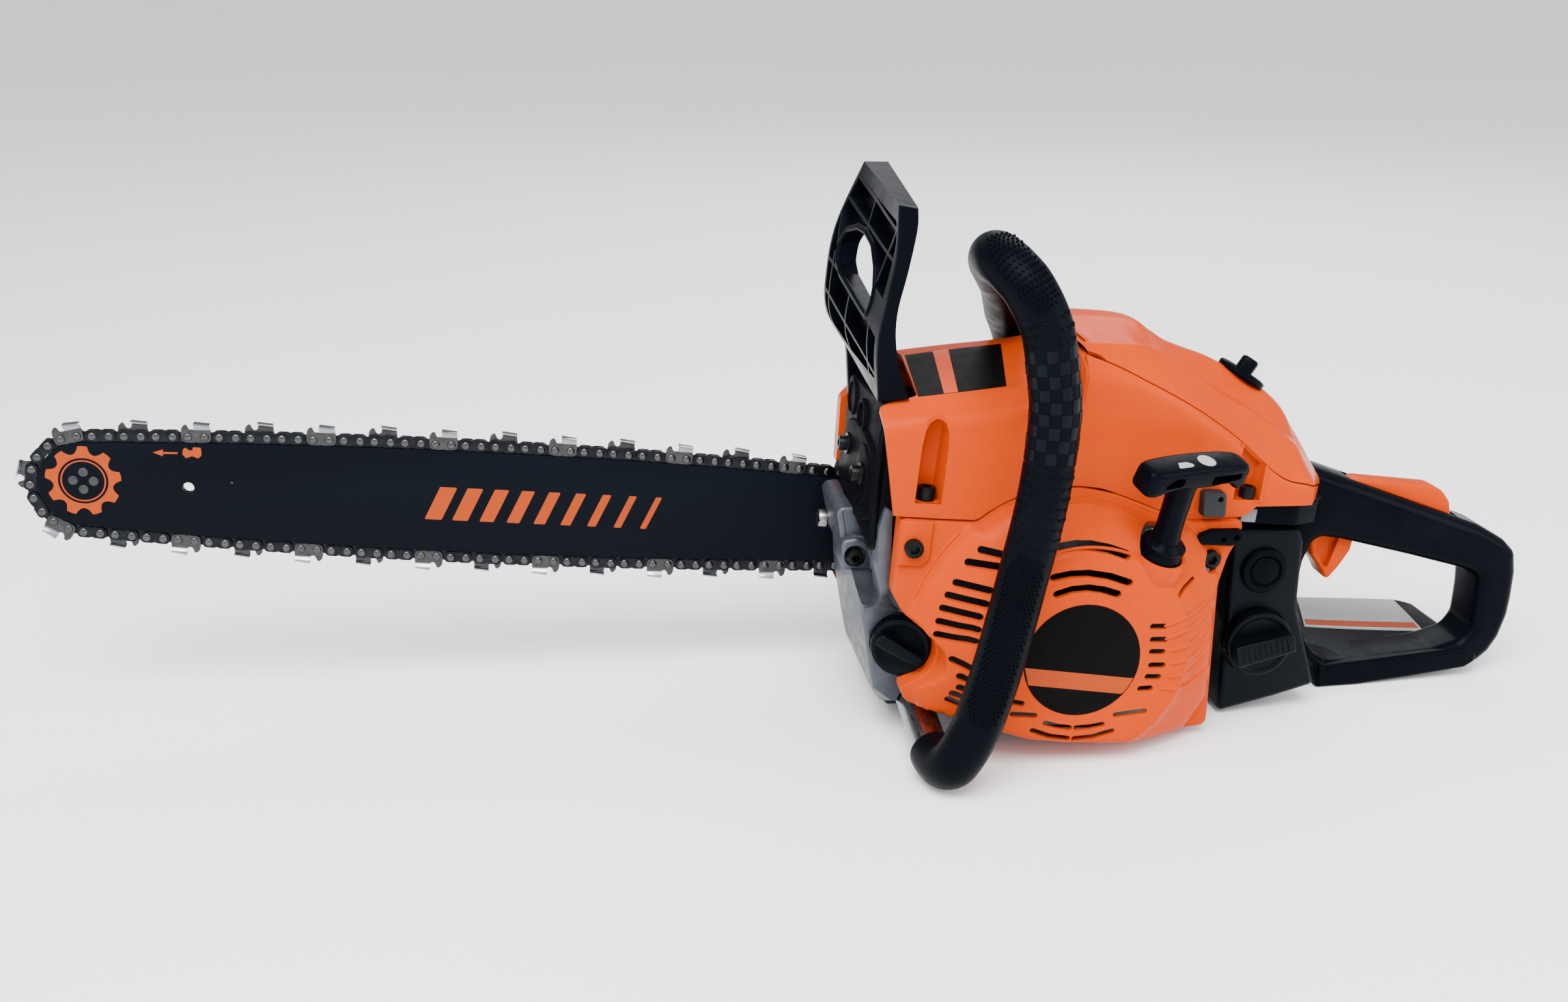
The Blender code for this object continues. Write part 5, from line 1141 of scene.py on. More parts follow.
stud_zone(s_of((242.0, -169, -45)), s_of((254.6, -167, 45)), 0.86, (-0.30, -0.92, 0.18))
stud_zone(s_of((242.0, -161.8, 167.5)), s_of((227.6, -141, 184)), 0.80, (-0.12, -0.86, 0.42))
show("handle_studs", join(*studs), RUBBER, sharp=60)
tiles = []
FACE_DIR = (-0.28, -0.92, 0.20)
for i in range(9):
    for k in range(-3, 4):
        if (i + k) % 2:
            continue
        s0 = s_of((257.4, -166, 93.5)) + i * 6.3
        a0, wa = (k - 0.5) * 0.43, 0.43 * 0.96
        grid = [[on_sleeve(s, a, lift, FACE_DIR)[0] for a, lift in ((a0, -0.5), (a0 + 0.01, 0.24), (a0 + 0.03, 0.3), (a0 + wa / 2, 0.32), (a0 + wa - 0.03, 0.3), (a0 + wa - 0.01, 0.24), (a0 + wa, -0.5))]
                for s in (s0 + 0.1, s0 + 0.4, s0 + 3.1, s0 + 5.8, s0 + 6.1)]
        tiles.append(loft(grid))
show("handle_tiles", join(*tiles), GRIP_GLOSS, sharp=40)
marks = []
for z0, z1 in ((50.0, 87.0), (150.0, 162.0)):
    s0, s1 = sorted((s_of((256.5 if z0 < 100 else 249.5, -166 if z0 < 100 else -164, z0)), s_of((257.5 if z0 < 100 else 245.0, -166 if z0 < 100 else -163, z1))))
    for i in range(int((s1 - s0) / 5.2) + 1):
        for k in range(-3, 4):
            a = (k + (0.5 if i % 2 else 0.0)) * 0.36
            legs = [on_sleeve(s0 + i * 5.2 + d, a + w, 0.12, FACE_DIR)[0] for d, w in ((1.4, -0.13), (0.7, -0.065), (0.0, 0.0), (0.7, 0.065), (1.4, 0.13))]
            marks.append(tube(np.array(legs), [0.2, 0.5, 0.55, 0.5, 0.2], 6))
show("handle_marks", join(*marks), RUBBER, sharp=60)

# ------------------------------------------------------------------ brake guard
G_NEAR = [(181, 202), (183, 176), (181, 152), (179, 130), (182.5, 102.0)], [(191, 201), (192, 191), (190, 170), (187, 146), (190, 125), (198.6, 104.4)]
G_FAR = [(184.5, 208), (173, 175), (170, 150), (172, 125), (185, 106)], [(198, 209), (196, 196), (184, 172), (182, 146), (187, 124), (199, 107)]


def edge_line(pts, n):
    q = spline([(x, 0, z) for x, z in pts], 2.0)
    return resample(q[:, [0, 2]], n)


NF = 30
fn, rn, ff, rf = edge_line(G_NEAR[0], NF), edge_line(G_NEAR[1], NF), edge_line(G_FAR[0], NF), edge_line(G_FAR[1], NF)


def guard_ring(y):
    k = (y + 110.0) / 110.0
    f, r = fn + (ff - fn) * k, rn + (rf - rn) * k
    return np.vstack([f, r[::-1]])


def guard_front(y, z):
    k = (y + 110.0) / 110.0
    f = fn + (ff - fn) * k
    return float(np.interp(z, f[::-1, 1], f[::-1, 0]))


def guard_rear(y, z):
    k = (y + 110.0) / 110.0
    r = rn + (rf - rn) * k
    return float(np.interp(z, r[::-1, 1], r[::-1, 0]))


stations = [-112.0, -111.6, -110.6] + list(np.linspace(-108, -3, 26)) + [-0.8, 0.4, 0.8]
body_rings = []
for y in stations:
    q = guard_ring(y)
    e = max(0.0, -110.6 - y, y + 0.8)
    body_rings.append(at_y(inset(q, 0.9 * (e / 1.5) ** 2) if e > 0 else q, y))
guard = to_mesh(loft(body_rings))
WINDOW = fillet([(-16.5, 166.0), (-22, 173.0), (-38, 177.4), (-53.2, 177.6), (-68.2, 174.1), (-80.6, 165), (-86.4, 156), (-87, 148.3), (-83.8, 139.6), (-60.4, 143.9), (-27.3, 150.4), (-18, 156)],
                [5, 6, 8, 8, 8, 8, 5, 5, 4, 6, 6, 4], 5)


def along_x(poly, x0, x1):
    q = np.asarray(poly, float)
    return loft([np.column_stack([np.full(len(q), x), q[:, 0], q[:, 1]]) for x in (x0, x1)])


ys, zs = np.linspace(-112, 2, 40), np.linspace(100, 212, 40)
v, f = [], []
for layer in range(2):
    for y in ys:
        for z in zs:
            v.append((140.0 if layer == 0 else min(guard_front(y, z) + 6.5, guard_rear(y, z) - 2.4), y, z))
ny, nz = len(ys), len(zs)
for layer in range(2):
    for i in range(ny - 1):
        for j in range(nz - 1):
            a = layer * ny * nz + i * nz + j
            f.append((a, a + nz, a + nz + 1, a + 1))
rim_idx = [i * nz for i in range(ny)] + [(ny - 1) * nz + j for j in range(1, nz)] + [i * nz + nz - 1 for i in range(ny - 2, -1, -1)] + [j for j in range(nz - 2, 0, -1)]
for a, b in zip(rim_idx, rim_idx[1:] + rim_idx[:1]):
    f.append((a, b, b + ny * nz, a + ny * nz))
hollow = to_mesh((np.array(v), f))
INNER = fillet([(-6, 201.5), (-50, 197.6), (-106.4, 193.0), (-107.4, 184), (-104.6, 171), (-102.6, 152), (-104.5, 134), (-104.0, 116), (-104, 112), (-8, 112.5), (-4, 130), (-3.5, 150), (-3.5, 176)], 2.0, 3)
hollow = modified(hollow, ("BOOLEAN", {"operation": "INTERSECT", "solver": "EXACT", "with": to_mesh(along_x(INNER, 130, 240))}))
hollow = cut(hollow, along_x(inset(WINDOW, -2.6), 120, 250))
for pts in ([(7, 201.7), (-58.5, 195.5), (-116, 187.6)], [(8, 190.2), (-55.4, 181.7), (-112, 172.2)], [(-85, 156.4), (-110, 150.6)], [(2, 155), (-27.3, 150.4), (-86.8, 139.2), (-112, 132.5)],
            [(4, 138.5), (-33.6, 130.1), (-112, 112.4)], [(2, 121), (-40, 111)], [(-57.6, 204), (-54.5, 190.7), (-52.8, 176)], [(-114, 198), (-95.2, 175.0), (-86, 154)], [(-51, 146), (-40, 104)],
            [(-90.5, 142.5), (-89.8, 108)], [(6, 202), (2.6, 191), (-14, 164)], [(-12, 160), (-10, 104)]):
    pts = np.array(pts, float)
    t = np.gradient(pts, axis=0)
    t = t / np.linalg.norm(t, axis=1)[:, None]
    n = np.column_stack([-t[:, 1], t[:, 0]]) * 0.95
    hollow = cut(hollow, along_x(np.vstack([pts + n, (pts - n)[::-1]]), 120, 250))
guard = cut(guard, along_x(WINDOW, 120, 250), hollow)
bead = []
for y, z in WINDOW:
    bead.append((guard_front(y, z) + 0.5, y, z))
bead = np.array(bead + bead[:1])
arm = plate(fillet([(184, 114), (198, 116), (207, 68), (207, 57), (200, 53.5), (193, 57), (192, 68), (187, 100)], [3, 3, 8, 6, 6, 6, 8, 10], 4), 3.2, -4.0, 1.2, 3, back=1.2)
hub = rev((200, -4.0, 62), (0, -1, 0), [(9, 0), (9, 1.2), (8.2, 1.9), (7.0, 1.9), (6.8, 1.2)], 32)
show("brake_guard_look", merged(guard, to_mesh(tube(bead, 1.5, 10)), to_mesh(arm), to_mesh(hub)), BLACK, body="guard", stands=("brake_guard",), sharp=38)

# ------------------------------------------------------------------ rear handle, trigger, lockout


def rest(x, up=0.0):
    return -115.3 + 0.1051 * x + up


LOOP = fillet([(443, 69), (473, 61), (537, 43.6), (558, 37.8), (575, 30), (583, 23.5), (586.5, 11), (588, -5), (588.3, -16), (586, -30), (581.5, -40), (574.5, -47.6), (532, -56.6),
               (500, rest(500)), (474, rest(474)), (471.5, -53), (461, -44), (454.6, -36), (446, -14.5), (440.5, 2), (438, 30), (441, 43), (443, 45)],
              [2, 30, 40, 30, 12, 8, 20, 40, 30, 16, 10, 10, 40, 30, 3, 6, 12, 14, 20, 20, 8, 2, 1], 5)
HOLE = fillet([(456, 27.6), (474, 25.8), (517, 18.4), (553, 11.4), (560, 9), (563, 5.5), (565, -6), (566.5, -24), (562, -33), (545.6, -39.5), (492, -48.6), (480, -49.5), (471, -44.5),
               (463, -35), (456, -19), (452, -4), (452, 12)], [8, 20, 40, 14, 6, 6, 40, 10, 12, 20, 8, 8, 12, 14, 20, 14, 10], 5)
handle = cut(to_mesh(plate(LOOP, -41.0, -74.0, 7.5, 6, back=7.5)), flared(HOLE, -74.0, -41.0, 6.5, 6))
column = to_mesh(plate(fillet([(440.8, 43), (438.6, 30), (441.0, 2), (446.4, -14.5), (455.0, -36), (461.4, -44), (471.8, -53), (474.4, rest(474.4) + 0.5), (492, rest(492) + 0.5), (490, -50.5),
                               (480, -50.4), (470.4, -45.2), (462.2, -35.4), (455.2, -19.2), (451.2, -4), (451.2, 12), (455.2, 28.6), (464, 30), (464, 43)],
                              [1, 6, 16, 16, 12, 10, 5, 2, 1, 1, 6, 10, 12, 16, 12, 8, 4, 1, 1], 4), -43.0, -72.0, 2.6, 4, back=2.6))
handle = cut(merged(handle), plate(fillet([(453, 2), (453, 40), (476, 43), (493, 38), (493, 2)], 2, 3), -47.2, -66.8, 0),
             plate(fillet([(473.5, 80), (473.5, 47.0), (479, 43.4), (545.5, 24), (545.5, 80)], 1.5, 3), -49.2, -64.8, 0))
column = cut(column, plate(fillet([(452.4, 2), (452.4, 40), (476, 43), (493, 38), (493, 2)], 2, 3), -47.2, -66.8, 0))
SK_R = [2, 20, 30, 5, 4, 5, 12, 0, 0, 0, 0, 0, 3, 2]
sk_near = fillet([(474, rest(474)), (500, rest(500)), (532, -56.6), (566, -49.4), (572.5, -44.5), (570, -35.8), (545.6, -39.6), *[(x, -51.5 + (x - 477) * 11.9 / 68.6) for x in (534, 522, 510, 499, 488)], (477, -51.5), (474, -52.5)], SK_R, 4)
sk_far = fillet([(474, rest(474)), (500, rest(500)), (532, -57.0), (574.5, -51.0), (581, -49), (580, -45), (545.6, -45.2), *[(x, -46.5 + (x - 477) * 1.3 / 68.6) for x in (534, 522, 510, 499, 488)], (477, -46.5), (474, -47.5)], SK_R, 4)
sk_rings = []
for y, d in [(-75.0, 2.4), (-74.8, 1.5), (-74.3, 0.7), (-73.5, 0.2), (-72.4, 0.0)] + [(y, 0.0) for y in np.linspace(-66, 15, 12)] + [(21.0, 0.0), (22.0, 0.3), (22.7, 0.8), (23.0, 1.5)]:
    q = sk_near + (sk_far - sk_near) * ((y + 75.0) / 98.0)
    sk_rings.append(at_y(inset(q, d) if d else q, y))
skid = to_mesh(loft(sk_rings))
corner = loft([[(x, y, z) for x, y in fillet([(566, 40), (566, 24.5), (573, 19), (582.5, 6), (600, 6), (600, 40)], [0, 4, 8, 2, 0, 0], 6)] for z in (-90, 0)])
skid = cut(skid, corner)
FRONT = fillet([(389, -103), (425, -103), (440, -95), (446, -88), (446, -30), (440, -17), (425, -11), (389, -11), (389, -24), (412, -24), (412, -88), (389, -88)], [1.5, 10, 8, 6, 6, 8, 10, 1, 1, 1, 1, 1], 4)


def slab_z(poly, z0, z1, r=1.0, seg=3):
    out = [np.column_stack([poly, np.full(len(poly), z0)])]
    for k in range(seg + 1):
        a = math.pi / 2 * k / seg
        out.append(np.column_stack([inset(poly, r * (1 - math.cos(a))), np.full(len(poly), z1 - r * (1 - math.sin(a)))]))
    return loft(out)


bridge = to_mesh(slab_z(FRONT, 44.2, 56.9, 1.0))
part_line = tube(spline([(448, -73.9, 46.5), (470, -74.0, 45.0), (482, -74.0, 43.2), (515, -74.0, 33.6), (545, -74.0, 25.0), (566, -74.0, 19.0)], 6.0), 0.28, 8)
show("rear_handle_look", merged(handle, column, skid, bridge, to_mesh(part_line)), BLACK, stands=("rear_handle",), sharp=34)
TRIG = fillet([(455, 26), (457, 37), (468, 39), (476, 36), (483, 25), (482.6, 18), (477.5, 7.5), (472.6, 0.2), (470, 0.4), (466, 6.4), (459.4, 13.4)], [2, 3, 4, 4, 5, 5, 8, 1.5, 1.5, 6, 6], 4)
trig = to_mesh(plate(TRIG, -48.2, -65.8, 2.0, 4, back=2.0))
trig = cut(trig, plate(fillet([(460.5, 17.5), (462, 27), (474, 27), (469.8, 6.0), (466.6, 9.0)], 1.6, 3), -62.0, -80.0, 0))
show("trigger_look", trig, ORANGE, body="trigger", stands=("throttle_trigger",))
LOCK = fillet([(475.5, 58.6), (479, 60.6), (526, 58.9), (533, 55.9), (539, 49.6), (541.2, 42), (540, 36), (500, 46.0), (484, 47.5), (477, 53.5)], [1.5, 6, 14, 9, 6, 4, 2, 10, 2, 2], 4)
show("lockout_look", to_mesh(plate(LOCK, -50.2, -63.8, 2.4, 4, back=2.4)), ORANGE, body="lockout", stands=("throttle_lockout",))


def skid_top(x, y):
    near = float(np.interp(x, [477, 545.6, 576], [-51.5, -39.6, -34.6]))
    far = float(np.interp(x, [477, 545.6, 580], [-46.5, -45.2, -45.0]))
    return near + (far - near) * ((y + 75.0) / 98.0)


def on_skid(c, n, m, lift, t):
    """Thin patch on the guard's top between four corners (near left, near right, far right, far left)."""
    c = np.asarray(c, float)
    v, f = [], []
    for d in (-t, lift):
        for i in range(n + 1):
            for j in range(m + 1):
                a, b = i / n, j / m
                q = (c[0] * (1 - a) + c[1] * a) * (1 - b) + (c[3] * (1 - a) + c[2] * a) * b
                v.append((q[0], q[1], skid_top(*q) + d))
    for layer in range(2):
        for i in range(n):
            for j in range(m):
                k = layer * (n + 1) * (m + 1) + i * (m + 1) + j
                f.append((k, k + m + 1, k + m + 2, k + 1))
    rim = [i * (m + 1) for i in range(n + 1)] + [n * (m + 1) + j for j in range(1, m + 1)] + [i * (m + 1) + m for i in range(n - 1, -1, -1)] + [j for j in range(m - 1, 0, -1)]
    off = (n + 1) * (m + 1)
    f += [(a, b, b + off, a + off) for a, b in zip(rim, rim[1:] + rim[:1])]
    return to_mesh((np.array(v), f))


show("guard_note", on_skid([(487.4, -23.7), (555.1, -41.6), (568.5, 20.0), (502.0, 20.4)], 14, 12, 0.5, 0.4), WHITE, sharp=30)
show("guard_note_stripe", on_skid([(489.2, -21.2), (554.6, -37.2), (556.8, -27.0), (491.8, -13.6)], 14, 3, 0.58, 0.0), ORANGE_PAINT, sharp=30)

# ------------------------------------------------------------------ fuel tank and rear fittings
TPOLY = fillet([(393, 31), (393.5, 39.5), (431, 41), (434.5, 34), (438.7, -6), (453, -38), (458.5, -52), (434, -61), (403.5, -71)], [3, 2.5, 4, 5, 20, 20, 3, 30, 3], 5)
tank = to_mesh(plate(TPOLY, -6.0, -100.0, 3.2, 4, back=3.0))
tank = cut(tank, slab_z(fillet([(398.5, -95.5), (428.5, -95.5), (428.5, -20), (398.5, -20)], 3, 4), 31.0, 60.0, 0.5))
tank = cut(tank, rev((416.8, -96.5, -25.2), (0, -1, 0), [(19.7, 0), (19.7, 3.5), (20.6, 5)], 48))
neck = rev((416.8, -96.4, -25.2), (0, -1, 0), [(19.6, 0), (19.6, 0.6), (17.0, 1.0)], 48)
show("tank_look", merged(tank, to_mesh(neck)), TANK, stands=("fuel_tank",), sharp=36)


def turn_cap(c, axis, r, h, grip_dir, gw, gl, gh, ribs):
    """Screw cap: knurled skirt, dished top and a raised grip bar with fine ribs."""
    a, u, v = basis(axis)
    gdir = unit(np.asarray(grip_dir, float) - a * (np.asarray(grip_dir, float) @ a))
    side = np.cross(a, gdir)
    skirt = to_mesh(rev(c, axis, [(r * 0.8, -4), (r * 0.8, 0), (r - 0.3, 0.1), (r, 0.7), (r, h - 1.4), (r - 0.4, h - 0.5), (r - 1.4, h), (r - 3.0, h - 0.2), (r - 4.0, h - 1.0), (r * 0.3, h - 1.4)], 60))
    notches = []
    for k in range(30):
        t = 2 * math.pi * k / 30
        d = u * math.cos(t) + v * math.sin(t)
        notches.append(rod(np.asarray(c) + d * (r + 0.25) + a * 0.9, np.asarray(c) + d * (r + 0.25) + a * (h - 1.2), 0.55, 8))
    skirt = cut(skirt, join(*notches))
    bar_poly = fillet([(-gl, -gw), (gl, -gw * 0.86), (gl, gw * 0.86), (-gl, gw)], 2.0, 4)
    bar_s = plate(bar_poly, h - 1.6, h + gh, 1.2, 3)
    pieces = [skirt, to_mesh(put(bar_s, c, gdir, a, side))]
    for k in range(ribs):
        x = -gl * 0.75 + 1.5 * gl * k / max(1, ribs - 1)
        rib = plate([(x - 0.35, -gw * 0.6), (x + 0.35, -gw * 0.6), (x + 0.35, gw * 0.6), (x - 0.35, gw * 0.6)], h + gh - 0.2, h + gh + 0.4, 0)
        pieces.append(to_mesh(put(rib, c, gdir, a, side)))
    return merged(*pieces)


show("fuel_cap_look", turn_cap((416.8, -100.4, -25.2), (0, -1, 0), 19.0, 7.5, (0.95, 0, 0.31), 6.4, 17.2, 8.5, 9), TANK, body="tank_cap", stands=("fuel_cap",))
OIL_C, OIL_A = A(214.2, -100.0, -34.6), unit((-0.26, -0.96, 0.05))
show("oil_cap_look", turn_cap(OIL_C + OIL_A * 1.0, OIL_A, 16.2, 8.0, (0.92, 0, -0.39), 3.6, 13.4, 6.6, 7), TANK, body="oil_filler_cap", stands=("oil_cap",))
plug = rev((413.5, -99.6, 16.5), (0, -1, 0), [(13.2, 0), (13.2, 2.2), (12.6, 3.6), (11.4, 4.2), (9.6, 4.2), (9.0, 3.6), (8.8, 2.6), (8.2, 2.5), (7.9, 3.3), (7.2, 3.7), (0.02, 3.9)], 56)
show("isolator_look", to_mesh(plug), RUBBER, stands=("isolator_plug",), sharp=40)
idle = to_mesh(plate(fillet([(361.0, 53.2), (374.3, 53.6), (372.4, 67.4), (359.2, 67.6)], [2.0, 2.0, 2.6, 2.6], 4), -117.0, -124.4, 1.1, 3))
idle = cut(idle, rod((369.4, -130, 63.6), (369.4, -121, 63.6), 1.5, 18))
show("idle_plug_look", idle, GREY, stands=("idle_plug",), sharp=40)
grom = to_mesh(plate(fillet([(360.6, 38.2), (380, 38.2), (386.4, 41.4), (386.4, 46.4), (383, 47.4), (368, 46.4), (360.6, 43.0)], 2.6, 4), -118, -126, 1.4, 3))
grom = cut(grom, rod((374.6, -135, 41.8), (374.6, -123, 41.8), 1.6, 18), rod((381.6, -135, 43.4), (381.6, -123, 43.4), 1.6, 18))
show("grommet_look", grom, RUBBER, stands=("jet_grommet",), sharp=40)
sw = plate(fillet([(390.6, 46.3), (399.4, 46.3), (399.4, 53.9), (390.6, 53.9)], 0.8, 3), -103.2, -108.0, 0.7, 3)
show("switch_look", to_mesh(sw), SWITCH, body="switch", stands=("stop_switch",))

# ------------------------------------------------------------------ starter pull grip
GC_ = A(340.6, -151.0, 86.4)
BD = unit((0.93, 0.36, 0.005))
BU = unit(STEM - BD * (STEM @ BD))
BO = np.cross(BD, BU)
if BO[1] > 0:
    BO = -BO
t_rings = []
low = curve([-35, -30, -22, -12, -4, 6, 14, 20, 26, 30, 32], [-8.6, -9.2, -6.6, -4.6, -5.2, -5.2, -4.2, -4.6, -8.6, -9.0, -8.0])
high = curve([-35, -28, -12, 0, 14, 26, 32], [4.4, 5.6, 6.6, 7.0, 6.8, 6.0, 4.4])
wide = curve([-35, -30, -10, 10, 27, 32], [6.6, 8.2, 9.0, 9.0, 8.0, 6.0])
for u in np.concatenate([[-35, -34.7, -34.2], np.linspace(-33.2, 30.2, 34), [31.2, 31.7, 32]]):
    b, t, w = float(low(u)), float(high(u)), float(wide(u))
    e = max(0.0, -33.2 - u, u - 30.2) / 1.8
    k = 0.74 + 0.26 * math.sqrt(max(0.0, 1 - e * e))
    m = (b + t) / 2
    sec = fillet([(-w * k, m + (b - m) * k), (w * k, m + (b - m) * k), (w * k * 0.92, m + (t - m) * k), (-w * k * 0.92, m + (t - m) * k)], min(3.0, 2.8 * k + 0.2), 4)
    t_rings.append([GC_ + BD * u + BO * q[0] + BU * q[1] for q in sec])
tbar = to_mesh(loft(t_rings))
for tri in ([(-29, -3.6), (-14.5, -2.2), (-14.5, 2.8), (-20, 2.8)], [(4.5, -3.2), (25, -1.2), (25, 2.4), (4.5, 2.6)]):
    tri = fillet(tri, 1.3, 3)
    tbar = cut(tbar, loft([[GC_ + BD * q[0] + BU * q[1] + BO * d for q in tri] for d in (4.5, 16.0)]))
STEM_TOP = GC_ - BD * 6.5
LEAN = unit(STEM_TOP - COLLAR - STEM * 6.0)
span = float((STEM_TOP - COLLAR - STEM * 6.0) @ LEAN)
collar = rev(COLLAR, STEM, [(10.8, -4.5), (11.4, -3.6), (11.4, 3.4), (10.9, 4.2), (10.9, 5.2), (11.6, 6.2), (11.6, 8.0), (10.6, 9.2), (8.6, 10.4), (7.4, 11.6), (5.0, 12.2)], 40)
stem = rev(COLLAR + STEM * 6.0, LEAN, [(7.0, -3.0), (7.6, 3.0), (7.4, 7.0), (6.9, 12), (6.8, 21), (7.2, span - 9), (8.2, span - 4.0), (8.6, span)], 40)
rope_me = to_mesh(tube(np.array([COLLAR + STEM * d for d in np.linspace(-16.0, 5.0, 64)]), 1.9, 16))
rope_me.transform(TO_WORLD)
rope_me.name = "starter_rope_out"
rope_me.materials.append(ROPE)
rope_me.shade_smooth()
rope_ob = bpy.data.objects.new("starter_rope_out", rope_me)
bpy.context.scene.collection.objects.link(rope_ob)
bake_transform(rope_ob)
show("pull_grip_look", merged(tbar, to_mesh(collar), to_mesh(stem)), BLACK, body="pull_grip", stands=("starter_grip",), sharp=36)


def on_tbar(u, w, lift):
    return GC_ + BD * u + BO * w + BU * (float(high(u)) + lift)


dot = []
for d, k in ((-0.4, 1.0), (0.10, 1.0), (0.12, 0.02)):
    dot.append([on_tbar(3.0 + 5.2 * k * math.cos(a), 0.8 + 4.6 * k * math.sin(a), d) for a in np.linspace(0, 2 * math.pi, 32, endpoint=False)])
show("grip_sticker", loft(dot), WHITE, body="pull_grip", sharp=30)
dab = []
for d, k in ((-0.4, 1.0), (0.06, 0.96), (0.25, 0.6), (0.3, 0.02)):
    dab.append([on_tbar(-12.5 + (4.6 + 1.1 * math.sin(3 * a + 0.6)) * k * math.cos(a), 2.2 + (3.0 + 0.8 * math.cos(2 * a)) * k * math.sin(a), d) for a in np.linspace(0, 2 * math.pi, 28, endpoint=False)])
show("grip_paint_dab", loft(dab), WHITE, body="pull_grip", sharp=60)

# ------------------------------------------------------------------ crankcase front
CORE = fillet([(187.3, 14), (189.3, -6), (192, -23), (195.6, -37), (199.1, -50.8), (204.4, -68.5), (213, -80), (222, rest(222)), (252, rest(252)), (264, -73), (385, -66), (386, 26), (346, 30),
               (318, 44), (252, 34), (238, 11), (214, 8), (201, 13)], [2, 6, 8, 8, 8, 6, 5, 4, 6, 8, 4, 4, 4, 2, 2, 6, 6, 3], 4)
case = to_mesh(plate(CORE, -8.2, -97.5, 2.4, 4, back=1.5))
under = loft([[(x, y, z + up) for y, z in ((-56.5, -110), (-56.5, -89.7), (-120, -59.6), (-120, -110))] for x, up in ((186.0, 19.0), (213.6, 0.0), (268.0, 0.0))])
ramp = loft([[(x, y, z) for y, z in ((-66.0, 60.0), (-66.0, -3.6), (-67.5, -4.8), (-71.0, -6.6), (-80.0, -10.4), (-90.0, -13.4), (-100.0, -15.2), (-140.0, -22.0), (-140.0, 60.0))] for x in (150.0, 203.0)])
case = cut(case, ramp)
case = cut(case, under)
case = cut(case, rod((300.8, -104, -10), (300.8, -60, -10), 40.0, 40), rod((227, -56, -65.4), (227, -135, -76.0), 10.4, 32), rod(OIL_C - OIL_A * 3.0, OIL_C + OIL_A * 20, 17.3, 48))
case = cut(case, plate([(231, -90), (400, -90), (400, 60), (231, 60)], -96.0, -120, 0))
boss = to_mesh(plate(fillet([(183.2, 4.0), (182.6, 11.0), (178.8, 24.4), (181.1, 27.8), (188.4, 28.8), (195.0, 15.5), (198.0, 4.0)], [1, 2, 2.5, 2, 2.5, 3, 1], 4), -12.0, -62.0, 1.8, 4, back=2.0))
boss = cut(boss, rod((186.2, -62.4, 12.0), (182.4, -62.4, 26.0), 0.8, 10))
step_block = to_mesh(plate(fillet([(184.4, -6.6), (182.2, 9.6), (184.4, 11.4), (190.4, 12.8), (196.4, 11.0), (200.2, 9.8), (201.6, 0.7), (200.4, -6.0)], [2, 2.5, 3, 6, 3, 2, 2, 2], 4), -40.0, -68.4, 2.2, 4))
step_block = cut(step_block, rev((190.4, -63.4, 2.4), (0, -1, 0), [(5.9, 0), (5.9, 3.6), (6.3, 5.4), (7.4, 9)], 32))
dowel = to_mesh(rod((201.2, -70.0, -4.0), (201.2, -70.0, 12.0), 2.6, 20, 0.6))
side_edge = to_mesh(plate(fillet([(194.3, 45.2), (197.9, 42.9), (200.0, 18.4), (201.2, -5.4), (207.0, -14.0), (215.0, -19.5), (222.0, -26.0), (222.0, -44.0), (204.0, -44.0), (195.0, -30.0), (191.4, -15.8),
                                  (196.0, -14.8), (198.8, -9.0), (196.8, 1.5), (193.4, 11.8), (191.6, 33.4), (193.4, 43.3)],
                                 [1, 1.2, 4, 6, 6, 6, 1, 1, 1, 6, 1.2, 3, 4, 6, 6, 4, 1.5], 4), -84.0, -116.0, 0))
face_line = [(-109.8 + 11.6 * (lambda k: k * k * (3 - 2 * k))(min(1.0, max(0.0, (2.0 - z) / 22.0))), z) for z in np.linspace(70, -70, 71)]
side_edge = bevelled(cut(side_edge, loft([[(x, y, z) for y, z in face_line + [(-150.0, -70.0), (-150.0, 70.0)]] for x in (170.0, 240.0)]),
                         rod(OIL_C - OIL_A * 3.0, OIL_C + OIL_A * 30, 17.3, 48)), 0.7, 2, 40.0)
oil_boss = to_mesh(rev(OIL_C - OIL_A * 22, OIL_A, [(25, 0), (22.5, 10), (20.0, 18.0), (19.2, 21.0), (18.9, 21.8), (18.2, 22.2), (17.6, 22.2), (17.2, 21.4), (17.2, 10)], 64))
oil_boss = cut(oil_boss, plate([(225.5, -80), (270, -80), (270, 20), (225.5, 20)], -60, -140, 0), plate([(150, -17.6), (224.5, -11.0), (224.5, 30), (150, 30)], -60, -140, 0))
show("crankcase_look", merged(case, boss, step_block, dowel, side_edge, oil_boss), CAST, stands=("crankcase_left", "crankcase_right"), sharp=34)
show("crankcase_bolt_look", socket_screw((190.4, -64.0, 2.4), (0, -1, 0), 4.6, 8.0), SCREW, stands=("crankcase_bolt",))
tens = to_mesh(rev((182.6, -17, 6), (-1, 0, 0), [(5.2, 0), (5.2, 3.6), (4.8, 4.6), (4.0, 5.0), (0.02, 5.1)], 32))
tens = cut(tens, loft([[(x, -17 + y, 6 + z) for y, z in ((-6, -0.6), (6, -0.6), (6, 0.6), (-6, 0.6))] for x in (176.0, 178.6)]))
show("tension_screw_look", tens, ZINC, stands=("tension_screw",))

